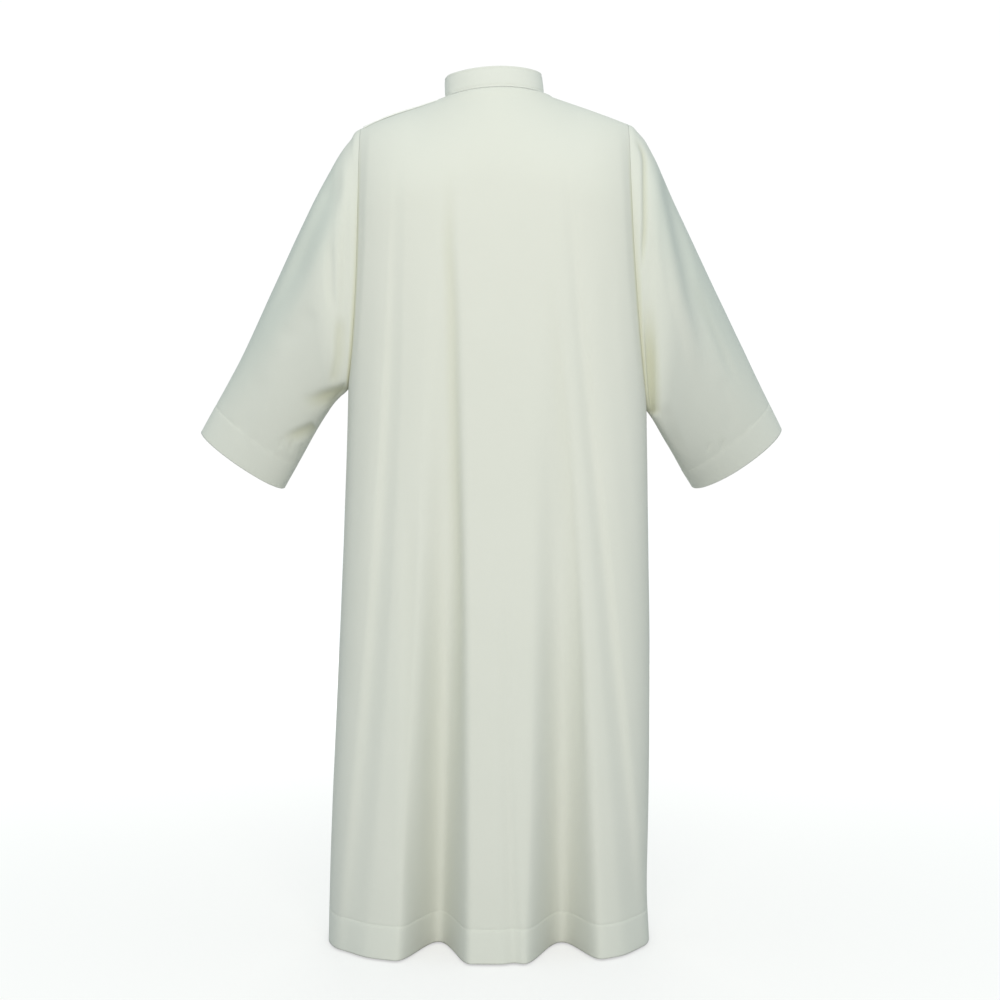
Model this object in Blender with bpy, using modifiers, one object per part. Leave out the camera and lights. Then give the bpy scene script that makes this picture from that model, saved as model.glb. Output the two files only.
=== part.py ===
"""Alb robe, filled out and hollow, as it hangs on a wearer who faces +Y.

Every piece of cloth is an open surface, lofted through sections that are worked out from the sizes
below, and is given its wall by a Solidify modifier. The origin is the middle of the neck opening at
the height of the shoulder seams, +X is the wearer's right and +Z is up. All sizes are in metres.
"""

import math
from collections import namedtuple

import bmesh
import bpy
from mathutils import Vector

# Cloth and seams
WALL = 0.0012
HEM_WALL = 0.0024
COLLAR_WALL = 0.0018
PLACKET_WALL = 0.0014
PLACKET_GAP = 0.0007
SEAM_GAP = 0.0003
SEAM_EDGE = 0.0025
CORNER_REACH = 0.00001
LAP_GAP = 0.0005

# Back and front
NECK_HALF_WIDTH = 0.083
NECK_TILT = 0.040
NECK_SLOPE = 0.70
SHOULDER_SLOPE = {-1: 0.356, 1: 0.385}
SHOULDER_SOFTNESS = 0.060
SHOULDER_ROUND = 0.170
YOKE_HALF_WIDTH = 0.140
YOKE_CURVE = 1.5
TOP_LEVEL = -0.030
BLUNT_WIDTH = 0.200
BLUNTNESS = 0.5
ROW_GATHER = 0.72
BODY_SQUARENESS = 2.6
HEM_HEIGHT = -1.421
HEM_TURN = 0.054
TURN_EDGE = 0.0015
FOLD_TOP_SHARE = 0.42
UNDERARM_HEIGHT = {-1: -0.495, 1: -0.532}
ARMHOLE_INSET = {-1: 0.0215, 1: 0.0260}
ARMHOLE_CURVE = {-1: 3.0, 1: 2.2}
SEAM_TUCK = 0.007
TUCK_WIDTH = 0.024

# Collar and shoulder closing
COLLAR_HEIGHT = 0.035
COLLAR_LEAN = 0.035
COLLAR_LAP_STEPS = 2
PLACKET_BACK = -0.016
PLACKET_FRONT = 0.011
PLACKET_INNER = 0.0890
PLACKET_OUTER = 0.2215

# Sleeves
SLEEVE_TURN = 0.056
SLEEVE_FULLNESS = 0.85
SLEEVE_SWELL = 0.05
ROOT_BLEND = 0.34
SHOULDER_CARRY = (0.04, 0.18)

# Fineness of the lofts
ARMHOLE_STEPS = 14
SKIRT_STEPS = 14
SHOULDER_STEPS = 9
NECK_STEPS = 14
COLUMN_BLEND = 0.30
SLEEVE_STEPS = 12
SLEEVE_GATHER = 1.25
SLEEVE_FIRST_PLACE = 0.004
COLLAR_ROWS = 3
SECTION_SAMPLES = 260
SIDE_SAMPLES = 24
EDGE_SHARE = 0.35
SEAM_DROP = 0.03
COLUMN_STEP = 0.2

BACK, FRONT = -1, 1
LEFT, RIGHT = -1, 1

Face = namedtuple("Face", "name neck_depth neck_rise yoke_rise")
FACES = {
    BACK: Face("back", 0.062, 0.006, -0.009),
    FRONT: Face("front", 0.078, -0.055, -0.070),
}

# The half widths and depths of the filled-out body, from the shoulders to the hem
Level = namedtuple("Level", "height left right back front")
BODY_LEVELS = (
    Level(0.000, 0.2500, 0.2515, 0.118, 0.116),
    Level(-0.100, 0.2500, 0.2520, 0.124, 0.126),
    Level(-0.200, 0.2500, 0.2530, 0.130, 0.136),
    Level(-0.350, 0.2495, 0.2550, 0.131, 0.139),
    Level(-0.500, 0.2483, 0.2566, 0.131, 0.137),
    Level(-0.690, 0.2530, 0.2590, 0.134, 0.138),
    Level(-0.940, 0.2630, 0.2620, 0.144, 0.144),
    Level(-1.190, 0.2740, 0.2600, 0.158, 0.154),
    Level(-1.330, 0.2790, 0.2570, 0.167, 0.160),
    Level(-1.421, 0.2810, 0.2600, 0.173, 0.164),
)

# The troughs between the hanging folds: where each starts, where it runs, how wide and how deep
Fold = namedtuple("Fold", "start x_start x_middle x_hem left right depth_middle depth_hem")
FOLDS = {
    BACK: (
        Fold(-0.110, -0.079, -0.079, -0.093, 0.068, 0.062, 0.027, 0.118),
        Fold(-0.270, 0.086, 0.106, 0.110, 0.066, 0.066, 0.024, 0.112),
        Fold(-0.110, 0.114, 0.177, 0.238, 0.030, 0.016, 0.007, 0.008),
        Fold(-0.110, -0.160, -0.187, -0.242, 0.018, 0.030, 0.006, 0.007),
        Fold(-0.820, 0.016, 0.020, 0.030, 0.018, 0.018, 0.003, 0.007),
    ),
    FRONT: (
        Fold(-0.180, -0.055, -0.064, -0.070, 0.060, 0.060, 0.024, 0.096),
        Fold(-0.240, 0.092, 0.104, 0.116, 0.066, 0.056, 0.022, 0.090),
        Fold(-0.140, -0.150, -0.176, -0.205, 0.030, 0.032, 0.008, 0.020),
        Fold(-0.160, 0.160, 0.186, 0.212, 0.026, 0.026, 0.007, 0.014),
        Fold(-0.700, 0.014, 0.020, 0.026, 0.022, 0.022, 0.004, 0.010),
    ),
}

# The sleeve's sections, from the armhole to its end. Top and under are its upper and lower edges,
# lead is how far the half nearer the back reaches past the other one.
Station = namedtuple("Station", "along top_x top_z under_x under_z middle_y back front lead")
SLEEVES = {
    LEFT: (
        Station(0.04, 0.2448, -0.0731, 0.2515, -0.4990, 0.000, 0.074, 0.072, 0.000),
        Station(0.09, 0.2584, -0.0901, 0.2565, -0.5040, 0.002, 0.071, 0.074, 0.000),
        Station(0.15, 0.2733, -0.1143, 0.2630, -0.5090, 0.005, 0.077, 0.077, 0.001),
        Station(0.32, 0.3149, -0.1898, 0.2780, -0.5245, 0.018, 0.074, 0.075, 0.003),
        Station(0.55, 0.3773, -0.3166, 0.3040, -0.5610, 0.040, 0.067, 0.068, 0.005),
        Station(0.78, 0.4404, -0.4452, 0.3330, -0.6090, 0.062, 0.059, 0.060, 0.007),
        Station(1.00, 0.5122, -0.5685, 0.3688, -0.6681, 0.088, 0.052, 0.054, 0.009),
    ),
    RIGHT: (
        Station(0.04, 0.2414, -0.0595, 0.2600, -0.5365, 0.000, 0.073, 0.072, 0.000),
        Station(0.09, 0.2560, -0.0765, 0.2640, -0.5420, 0.003, 0.071, 0.074, 0.000),
        Station(0.15, 0.2763, -0.1142, 0.2700, -0.5505, 0.008, 0.076, 0.076, 0.001),
        Station(0.32, 0.3125, -0.1886, 0.2870, -0.5760, 0.030, 0.073, 0.073, 0.004),
        Station(0.55, 0.3758, -0.3144, 0.3100, -0.6080, 0.070, 0.066, 0.066, 0.009),
        Station(0.78, 0.4441, -0.4435, 0.3310, -0.6400, 0.110, 0.058, 0.058, 0.013),
        Station(1.00, 0.5087, -0.5619, 0.3516, -0.6690, 0.150, 0.052, 0.052, 0.017),
    ),
}

CLOTH_COLOUR = (0.76, 0.78, 0.69, 1.0)
COLLAR_COLOUR = (0.77, 0.80, 0.73, 1.0)
CLOTH_ROUGHNESS = 0.85


# Numbers along tables

def ease(value, low, high):
    """0 below low, 1 above high, and a smooth rise between."""
    t = min(max((value - low) / (high - low), 0.0), 1.0)
    return t * t * (3.0 - 2.0 * t)


def mix(first, second, share):
    return first + (second - first) * share


def read_table(rows, key, at, column):
    """A smooth curve through one column of a table, read at a value of its key column."""
    keys = [getattr(row, key) for row in rows]
    values = [getattr(row, column) for row in rows]
    if keys[0] > keys[-1]:
        keys.reverse()
        values.reverse()
    at = min(max(at, keys[0]), keys[-1])
    cell = max(i for i in range(len(keys) - 1) if keys[i] <= at or i == 0)
    span = keys[cell + 1] - keys[cell]
    t = (at - keys[cell]) / span
    slopes = [table_slope(keys, values, cell), table_slope(keys, values, cell + 1)]
    start = (2 * t**3 - 3 * t**2 + 1) * values[cell] + (t**3 - 2 * t**2 + t) * span * slopes[0]
    end = (3 * t**2 - 2 * t**3) * values[cell + 1] + (t**3 - t**2) * span * slopes[1]
    return start + end


def table_slope(keys, values, index):
    """The slope of the curve at one row, from the rows on both sides of it."""
    low = max(index - 1, 0)
    high = min(index + 1, len(keys) - 1)
    return (values[high] - values[low]) / (keys[high] - keys[low])


def even_points(line, shares):
    """Points at the given shares of a line's length."""
    travel = [0.0]
    for first, second in zip(line, line[1:]):
        travel.append(travel[-1] + (second - first).length)
    points = []
    cell = 0
    for share in shares:
        goal = share * travel[-1]
        while cell < len(line) - 2 and travel[cell + 1] < goal:
            cell += 1
        part = (goal - travel[cell]) / (travel[cell + 1] - travel[cell])
        points.append(line[cell].lerp(line[cell + 1], min(max(part, 0.0), 1.0)))
    return points


# The body's surface

def half_width(height, side):
    return read_table(BODY_LEVELS, "height", height, "left" if side == LEFT else "right")


def body_depth(height, face):
    return read_table(BODY_LEVELS, "height", height, "back" if face == BACK else "front")


def middle_part(x, width):
    """0 at the sides of a half round edge and 1 in its middle."""
    return max(1.0 - (x / width) ** 2, 0.0)


def shoulder_slope(x):
    share = ease(x, -NECK_HALF_WIDTH, NECK_HALF_WIDTH)
    return mix(SHOULDER_SLOPE[LEFT], SHOULDER_SLOPE[RIGHT], share)


def shoulder_height(x):
    """The line over the shoulders, carried on across the neck."""
    tilt = NECK_TILT * min(max(x, -NECK_HALF_WIDTH), NECK_HALF_WIDTH)
    beyond = math.hypot(x, SHOULDER_SOFTNESS) - math.hypot(NECK_HALF_WIDTH, SHOULDER_SOFTNESS)
    return tilt - shoulder_slope(x) * beyond


def top_edge(face, x):
    """The neck edge in the middle and the shoulder seam outside it."""
    part = middle_part(x, NECK_HALF_WIDTH)
    if part > 0.0:
        depth = face * FACES[face].neck_depth * math.sqrt(part)
        return Vector((x, depth, NECK_TILT * x + FACES[face].neck_rise * part))
    return Vector((x, 0.0, shoulder_height(x)))


def yoke_edge(face, x):
    """The smooth line that the rows below the top edge start from."""
    part = middle_part(x, YOKE_HALF_WIDTH) ** YOKE_CURVE
    height = shoulder_height(x) + FACES[face].yoke_rise * part
    return Vector((x, face * FACES[face].neck_depth * part, height))


def underarm_height(x):
    level = row_level(1.0)
    share = 0.5 + x / (half_width(level, RIGHT) + half_width(level, LEFT))
    return mix(UNDERARM_HEIGHT[LEFT], UNDERARM_HEIGHT[RIGHT], min(max(share, 0.0), 1.0))


def armhole_inset(side, row):
    return ARMHOLE_INSET[side] * (1.0 - row ** ARMHOLE_CURVE[side])


def shoulder_round(x, drop):
    """How much of the body's depth is reached at a drop below the shoulder line."""
    share = min(drop / SHOULDER_ROUND, 1.0)
    bluntness = 1.0 - BLUNTNESS * ease(abs(x), 0.0, BLUNT_WIDTH)
    return (1.0 - (1.0 - share) ** 2) ** bluntness


def fold_depth(face, x, height):
    """How far the troughs between the folds push the cloth in at this place."""
    total = 0.0
    for fold in FOLDS[face]:
        run = (fold.start - height) / (fold.start - HEM_HEIGHT)
        if run <= 0.0:
            continue
        centre = three_point(run, fold.x_start, fold.x_middle, fold.x_hem)
        depth = three_point(run, 0.0, fold.depth_middle, fold.depth_hem)
        width = (fold.left if x < centre else fold.right) * mix(FOLD_TOP_SHARE, 1.0, run)
        offset = abs(x - centre) / width
        if offset < 1.0:
            total += depth * math.cos(0.5 * math.pi * offset) ** 2
    return total


def three_point(run, start, middle, end):
    """A parabola through its values at 0, one half and 1."""
    bend = 2.0 * (start + end - 2.0 * middle)
    return start + (end - start - bend) * run + bend * run * run


def body_point(face, level, row, angle):
    """A point of one section: row is 0 at the shoulder, 1 under the arm and 2 at the hem."""
    side = LEFT if angle < 0.5 * math.pi else RIGHT
    power = 2.0 / BODY_SQUARENESS
    x = side * half_width(level, side) * abs(math.cos(angle)) ** power
    top = yoke_edge(face, x)
    under = underarm_height(x)
    if row <= 1.0:
        gather = mix(ROW_GATHER, 1.0, ease(abs(x), 0.0, BLUNT_WIDTH))
        height = mix(top.z, under, row ** gather)
    else:
        height = mix(under, HEM_HEIGHT, row - 1.0)
    full = face * body_depth(level, face) * math.sin(angle) ** power
    reach = mix(top.y, full, shoulder_round(x, top.z - height))
    return Vector((x, reach - face * fold_depth(face, x, height), height))


def row_level(row):
    """The height at which a row's widths are read."""
    under = 0.5 * (UNDERARM_HEIGHT[LEFT] + UNDERARM_HEIGHT[RIGHT])
    if row <= 1.0:
        return mix(TOP_LEVEL, under, row)
    return mix(under, HEM_HEIGHT, row - 1.0)


def edge_angle(side, level, row):
    """Where a section ends: at the armhole above the underarm, at the side seam below it."""
    if row >= 1.0:
        return 0.0 if side == LEFT else math.pi
    width = half_width(level, side)
    cosine = ((width - armhole_inset(side, row)) / width) ** (0.5 * BODY_SQUARENESS)
    angle = math.acos(min(cosine, 1.0))
    return angle if side == LEFT else math.pi - angle


def arc(face, row, first, last, samples):
    """A close line of points of one section between two angles."""
    level = row_level(row)
    line = []
    for step in range(samples + 1):
        turn = 0.5 - 0.5 * math.cos(math.pi * step / samples)
        line.append(body_point(face, level, row, mix(first, last, turn)))
    return line


def section(face, row):
    """One row of a panel as a close line of points, from the left edge to the right one."""
    level = row_level(row)
    line = arc(face, row, edge_angle(LEFT, level, row), edge_angle(RIGHT, level, row),
               SECTION_SAMPLES)
    tuck = SEAM_TUCK * math.sin(math.pi * row) ** 0.5 if row < 1.0 else 0.0
    for point in line:
        edge = min((point - line[0]).length, (point - line[-1]).length)
        point.y -= face * tuck * (1.0 - ease(edge, 0.0, TUCK_WIDTH))
    return line


def armhole_rows():
    """Rows from the shoulder to the underarm, closer at both ends."""
    return [0.5 - 0.5 * math.cos(math.pi * i / ARMHOLE_STEPS) for i in range(ARMHOLE_STEPS + 1)]


def skirt_rows():
    """Rows from below the underarm to the hem, with two at the top of the turned-up hem."""
    drop = 0.5 * (UNDERARM_HEIGHT[LEFT] + UNDERARM_HEIGHT[RIGHT]) - HEM_HEIGHT
    turn = HEM_TURN / drop
    rows = [1.0 + (1.0 - turn) * i / SKIRT_STEPS for i in range(1, SKIRT_STEPS + 1)]
    return rows + [2.0 - turn + TURN_EDGE / drop, 2.0 - 0.5 * turn, 2.0]


def line_length(line):
    return sum((second - first).length for first, second in zip(line, line[1:]))


def neck_points(face):
    """The neck edge from the wearer's left to the right, which the collar's foot shares."""
    angles = [math.pi * i / NECK_STEPS for i in range(NECK_STEPS + 1)]
    return [top_edge(face, -NECK_HALF_WIDTH * math.cos(angle)) for angle in angles]


def shoulder_reach(side):
    """How far out the shoulder seam ends."""
    return half_width(row_level(0.0), side) - armhole_inset(side, 0.0)


def top_points(face):
    """The points along the top of a panel: shoulder seam, neck edge, shoulder seam."""
    left, right = -shoulder_reach(LEFT), shoulder_reach(RIGHT)
    shares = [i / SHOULDER_STEPS for i in range(SHOULDER_STEPS)]
    places = [left] + [mix(left + SEAM_EDGE, -NECK_HALF_WIDTH, share) for share in shares]
    left_seam = [top_edge(face, x) for x in places]
    places = [right] + [mix(right - SEAM_EDGE, NECK_HALF_WIDTH, share) for share in shares]
    right_seam = [top_edge(face, x) for x in places]
    return left_seam + neck_points(face) + right_seam[::-1]


def cut_away(face, row):
    """The lengths of a section that lie inside the sleeves, beyond the two armholes."""
    level = row_level(row)
    left = arc(face, row, 0.0, edge_angle(LEFT, level, row), SIDE_SAMPLES)
    right = arc(face, row, edge_angle(RIGHT, level, row), math.pi, SIDE_SAMPLES)
    return line_length(left), line_length(right)


def column_shares(face, row, length):
    """Shares of a section for the panel's columns: as along the top at first, even farther down."""
    top = top_points(face)
    steps = len(top) - 3
    left, right = cut_away(face, row)
    whole = left + length + right
    travel = [0.0]
    for first, second in zip(top, top[1:]):
        travel.append(travel[-1] + (second - first).length)
    shares = []
    for i, place in enumerate(travel):
        even = min(max((i - 1) / steps, 0.0), 1.0)
        squeeze = left * max(1.0 - even / EDGE_SHARE, 0.0) ** 2
        squeeze -= right * max(1.0 - (1.0 - even) / EDGE_SHARE, 0.0) ** 2
        even = (even * whole + squeeze - left) / length
        shares.append(mix(place / travel[-1], even, ease(row, 0.0, COLUMN_BLEND)))
    shares[1], shares[-2] = SEAM_EDGE / length, 1.0 - SEAM_EDGE / length
    return shares


def seam_row(face, points):
    """The row beside the top edge: level along the shoulder seams, sloping away from the neck."""
    row = []
    for point in points:
        if abs(point.x) > NECK_HALF_WIDTH + CORNER_REACH:
            out = Vector((0.0, face, 0.0))
        elif abs(point.x) > NECK_HALF_WIDTH - CORNER_REACH:
            out = Vector((math.copysign(1.0, point.x), face, 0.0)).normalized()
        else:
            out = Vector((point.x, point.y, 0.0)).normalized()
        drop = NECK_SLOPE * middle_part(point.x, NECK_HALF_WIDTH) + SEAM_DROP
        row.append(point + (out - Vector((0.0, 0.0, drop))) * SEAM_EDGE)
    return row


def panel_grid(face):
    """The rows of points of the back or the front."""
    top = top_points(face)
    grid = [top, seam_row(face, top)]
    for row in armhole_rows()[1:] + skirt_rows():
        line = section(face, row)
        grid.append(even_points(line, column_shares(face, row, line_length(line))))
    for line in grid[:len(armhole_rows())]:
        line[0].x += 0.5 * SEAM_GAP
        line[-1].x -= 0.5 * SEAM_GAP
    for line in grid:
        for point in line:
            point.y += face * 0.5 * SEAM_GAP
    return grid


# Sleeves

def armhole_ring(side):
    """The armhole from the shoulder down the back and up the front."""
    end = 0 if side == LEFT else -1
    rows = armhole_rows()[1:]
    back = [section(BACK, row)[end] for row in rows]
    front = [section(FRONT, row)[end] for row in rows[:-1]]
    ring = [top_points(BACK)[end]] + back + front[::-1]
    for point in ring:
        point.x += side * 0.5 * SEAM_GAP
    return ring


def ring_turns():
    """Cosine and signed sine round the sleeve for the points of the armhole ring."""
    rows = armhole_rows()
    turns = [(1.0 - 2.0 * row, BACK, 2.0 * math.sqrt(row * (1.0 - row))) for row in rows]
    return turns + [(cosine, FRONT, sine) for cosine, _, sine in turns[-2:0:-1]]


def sleeve_edges(side, along, ring):
    """The upper and the lower edge of the sleeve at one place along it."""
    root_top, root_under = ring[0], ring[len(armhole_rows()) - 1]
    rows = SLEEVES[side]
    first = rows[0]
    top = Vector((side * read_table(rows, "along", along, "top_x"), 0.0,
                  read_table(rows, "along", along, "top_z")))
    under = Vector((side * read_table(rows, "along", along, "under_x"), 0.0,
                    read_table(rows, "along", along, "under_z")))
    share = min(along / first.along, 1.0)
    return root_top.lerp(top, share), root_under.lerp(under, share)


def sleeve_ring(side, along, ring):
    """The points of one section of the sleeve."""
    rows = SLEEVES[side]
    root_top, root_under = sleeve_edges(side, 0.0, ring)
    top, under = sleeve_edges(side, along, ring)
    run = (under - top).cross(Vector((0.0, side, 0.0))).normalized()
    fade = min(along / rows[0].along, 1.0)
    blend = ease(along, 0.0, ROOT_BLEND)
    middle_y = read_table(rows, "along", along, "middle_y") * fade
    lead = read_table(rows, "along", along, "lead") * fade
    points = []
    for root, (cosine, face, sine) in zip(ring, ring_turns()):
        share = 0.5 - 0.5 * cosine
        spare = root - root_top.lerp(root_under, share)
        depth = read_table(rows, "along", along, FACES[face].name)
        oval = Vector((0.0, face * depth * sine ** SLEEVE_FULLNESS, 0.0))
        swell = face * (depth - rows[-1].back) * sine * SLEEVE_SWELL * fade
        point = top.lerp(under, share) + spare.lerp(oval, blend)
        point.y += middle_y + swell
        points.append(point - run * face * sine * lead)
    return points


def seam_ring(side, along, ring):
    """The row beside the seam. Over the shoulder it carries on in the body's own direction."""
    points = sleeve_ring(side, along, ring)
    tip = abs(ring[0].x)
    slope = SHOULDER_SLOPE[side] * tip / math.hypot(tip, SHOULDER_SOFTNESS)
    slope = Vector((side, 0.0, -slope)).normalized()
    for i, (cosine, _, _) in enumerate(ring_turns()):
        over = 1.0 - ease(0.5 - 0.5 * cosine, *SHOULDER_CARRY)
        points[i] = points[i].lerp(ring[i] + slope * SEAM_EDGE, over)
    return points


def sleeve_places(side):
    """Places along the sleeve: one beside the seam and two at the top of the turned-up end."""
    last, before = SLEEVES[side][-1], SLEEVES[side][-2]
    step = math.hypot(last.top_x - before.top_x, last.top_z - before.top_z)
    rate = (last.along - before.along) / step
    start = 1.0 - SLEEVE_TURN * rate
    places = [start * (i / SLEEVE_STEPS) ** SLEEVE_GATHER for i in range(1, SLEEVE_STEPS + 1)]
    return [0.0, SLEEVE_FIRST_PLACE] + places + [start + TURN_EDGE * rate, 0.5 * (start + 1.0), 1.0]


def sleeve_grid(side):
    ring = armhole_ring(side)
    places = sleeve_places(side)
    grid = [ring, seam_ring(side, places[1], ring)]
    for place in places[2:]:
        grid.append(sleeve_ring(side, place, ring))
    return grid


# Collar and shoulder placket

def collar_shift(step, steps):
    """How far the lapped ends stand out of or into the line of the band."""
    shift = 0.5 * (COLLAR_WALL + LAP_GAP)
    near, far = COLLAR_LAP_STEPS, COLLAR_LAP_STEPS + 2
    outer = shift * (1.0 - ease(step, near, far))
    inner = shift * ease(step, steps - far, steps - near)
    return outer - inner


def collar_grid():
    """The band starts at the left shoulder, runs round the back and ends under its own start."""
    around = neck_points(BACK)[:-1] + neck_points(FRONT)[:0:-1]
    around += around[:COLLAR_LAP_STEPS + 1]
    grid = [[] for _ in range(COLLAR_ROWS + 1)]
    for step, foot in enumerate(around):
        angle = math.pi * (1.0 + step / NECK_STEPS)
        out = Vector((math.cos(angle), math.sin(angle), 0.0))
        foot = foot + out * collar_shift(step, len(around) - 1)
        for row in range(COLLAR_ROWS + 1):
            rise = COLLAR_HEIGHT * row / COLLAR_ROWS
            grid[row].append(foot - out * COLLAR_LEAN * rise + Vector((0.0, 0.0, SEAM_GAP + rise)))
    return grid[::-1]


def between_columns(line, column):
    cell = min(int(column), len(line) - 2)
    return line[cell].lerp(line[cell + 1], column - cell)


def beside_seam(grid, column, distance):
    """A point of a panel's own surface at a distance from the shoulder seam."""
    top, edge, below = (between_columns(line, column) for line in grid[:3])
    if distance <= SEAM_EDGE:
        return top.lerp(edge, distance / SEAM_EDGE)
    return edge + (below - edge).normalized() * (distance - SEAM_EDGE)


def over_shoulder(grids, column, distance, lift):
    """A point over the shoulder, lifted off the cloth. Distances run from back to front."""
    grid = grids[FRONT if distance > 0.0 else BACK]
    reach = abs(distance)
    along = beside_seam(grid, column + COLUMN_STEP, reach)
    along = along - beside_seam(grid, column - COLUMN_STEP, reach)
    down = beside_seam(grid, column, reach + SEAM_EDGE)
    down = down - beside_seam(grid, column, reach - SEAM_EDGE)
    normal = along.cross(down).normalized()
    return beside_seam(grid, column, reach) + normal * math.copysign(lift, normal.z)


def placket_grid(grids):
    """Lengthwise rows of the flap, from its back edge over the seam to its front edge."""
    lift = PLACKET_WALL + PLACKET_GAP
    pitch = (shoulder_reach(LEFT) - SEAM_EDGE - NECK_HALF_WIDTH) / SHOULDER_STEPS
    outer = 1.0 + (shoulder_reach(LEFT) - SEAM_EDGE - PLACKET_OUTER) / pitch
    inner = 1.0 + (shoulder_reach(LEFT) - SEAM_EDGE - PLACKET_INNER) / pitch
    columns = [outer] + list(range(math.ceil(outer), math.ceil(inner))) + [inner]
    middles = [0.5 * (PLACKET_BACK - SEAM_EDGE), 0.5 * (PLACKET_FRONT + SEAM_EDGE)]
    rows = sorted([PLACKET_BACK, PLACKET_FRONT, -SEAM_EDGE, SEAM_EDGE] + middles)
    return [[over_shoulder(grids, c, distance, lift) for c in columns] for distance in reversed(rows)]


# Meshes, materials and objects

def new_material(name, colour):
    material = bpy.data.materials.new(name)
    material.use_nodes = True
    shader = material.node_tree.nodes["Principled BSDF"]
    shader.inputs["Base Color"].default_value = colour
    shader.inputs["Roughness"].default_value = CLOTH_ROUGHNESS
    shader.inputs["Metallic"].default_value = 0.0
    return material


def loft(name, grid, closed=False, flip=False):
    """An open surface through rows of points, joined round where closed is set."""
    surface = bmesh.new()
    rows = [[surface.verts.new(point) for point in line] for line in grid]
    count = len(rows[0])
    for upper, lower in zip(rows, rows[1:]):
        for i in range(count if closed else count - 1):
            j = (i + 1) % count
            corners = [upper[i], lower[i], lower[j], upper[j]]
            surface.faces.new(corners[::-1] if flip else corners)
    mesh = bpy.data.meshes.new(name)
    surface.to_mesh(mesh)
    surface.free()
    mesh.shade_smooth()
    return bpy.data.objects.new(name, mesh)


def give_wall(piece, thickness):
    """Thickens the surface inwards, so that its points stay the outer face."""
    wall = piece.modifiers.new("wall", "SOLIDIFY")
    wall.thickness = thickness
    wall.offset = -1.0
    wall.use_rim = True
    return wall


def turn_up(piece, wall, first_row, row_size):
    """Doubles the wall from one row of the loft on, where the hem is turned up inside."""
    group = piece.vertex_groups.new(name="turned_up")
    count = len(piece.data.vertices)
    group.add(list(range(first_row * row_size, count)), 1.0, "REPLACE")
    wall.thickness = HEM_WALL
    wall.vertex_group = group.name
    wall.thickness_vertex_group = WALL / HEM_WALL


def make_panel(name, face, grid, material):
    piece = loft(name, grid, flip=face == FRONT)
    turn_up(piece, give_wall(piece, HEM_WALL), len(grid) - 3, len(grid[0]))
    piece.data.materials.append(material)
    return piece


def make_sleeve(name, side, material):
    grid = sleeve_grid(side)
    piece = loft(name, grid, closed=True, flip=side == RIGHT)
    turn_up(piece, give_wall(piece, HEM_WALL), len(grid) - 3, len(grid[0]))
    piece.data.materials.append(material)
    return piece


def make_collar(material):
    piece = loft("collar", collar_grid())
    give_wall(piece, COLLAR_WALL)
    piece.data.materials.append(material)
    return piece


def make_placket(grids, material):
    piece = loft("shoulder_placket", placket_grid(grids))
    give_wall(piece, PLACKET_WALL)
    piece.data.materials.append(material)
    return piece


def clear_scene():
    for old in list(bpy.data.objects):
        bpy.data.objects.remove(old, do_unlink=True)


def build():
    clear_scene()
    robe = bpy.data.collections.new("alb_robe")
    bpy.context.scene.collection.children.link(robe)
    grids = {face: panel_grid(face) for face in FACES}
    pieces = [
        make_panel("back_panel", BACK, grids[BACK], new_material("back_cloth", CLOTH_COLOUR)),
        make_panel("front_panel", FRONT, grids[FRONT], new_material("front_cloth", CLOTH_COLOUR)),
        make_sleeve("sleeve_left", LEFT, new_material("left_sleeve_cloth", CLOTH_COLOUR)),
        make_sleeve("sleeve_right", RIGHT, new_material("right_sleeve_cloth", CLOTH_COLOUR)),
        make_collar(new_material("collar_cloth", COLLAR_COLOUR)),
        make_placket(grids, new_material("placket_cloth", CLOTH_COLOUR)),
    ]
    for piece in pieces:
        robe.objects.link(piece)


build()
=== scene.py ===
"""Looks of the alb robe: fine cloth over its solids, its sewing, finishes, floor, lights and camera."""

import logging
import math
from dataclasses import dataclass, field
from enum import Enum

import bmesh
import bpy
import numpy as np
from mathutils import Matrix, Vector, noise


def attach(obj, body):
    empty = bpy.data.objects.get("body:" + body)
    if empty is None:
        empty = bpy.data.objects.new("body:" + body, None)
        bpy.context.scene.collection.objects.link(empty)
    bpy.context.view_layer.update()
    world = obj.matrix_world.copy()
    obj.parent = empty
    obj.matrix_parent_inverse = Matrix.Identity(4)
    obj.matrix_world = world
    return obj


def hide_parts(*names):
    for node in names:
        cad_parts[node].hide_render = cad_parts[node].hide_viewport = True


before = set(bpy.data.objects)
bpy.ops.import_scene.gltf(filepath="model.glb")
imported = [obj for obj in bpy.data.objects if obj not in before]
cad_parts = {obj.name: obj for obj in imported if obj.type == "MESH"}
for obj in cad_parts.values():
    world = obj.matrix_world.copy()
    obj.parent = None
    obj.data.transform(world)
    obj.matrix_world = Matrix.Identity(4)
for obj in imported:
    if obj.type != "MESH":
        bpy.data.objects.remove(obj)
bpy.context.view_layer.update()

ROOT = "root"
LOG = logging.getLogger("alb_robe")

Array = np.ndarray
Colour = tuple[float, float, float]
Socket = bpy.types.NodeSocket

HEM_SHARES = (-0.09, -0.05, -0.025, 0.0, 0.025, 0.05, 0.09, 0.2, 0.34, 0.48, 0.62, 0.76, 0.88, 0.96, 1.0)
SHOULDER_SHARES = (0.12, 0.26, 0.42, 0.58, 0.72, 0.86)


class Side(Enum):
    """The wearer's left or right, with its sign along X."""

    LEFT = -1
    RIGHT = 1


class Face(Enum):
    """The back or the front of the robe, with its sign along Y."""

    BACK = -1
    FRONT = 1


def ease(value: Array | float, low: float, high: float) -> Array:
    """Gives 0 below low, 1 above high, and a smooth rise between."""
    share = np.clip((np.asarray(value, float) - low) / (high - low), 0.0, 1.0)
    return share * share * (3.0 - 2.0 * share)


def mix(first: Array | float, second: Array | float, share: Array | float) -> Array:
    """Goes from the first value to the second one by a share."""
    return first + (second - first) * share


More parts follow.
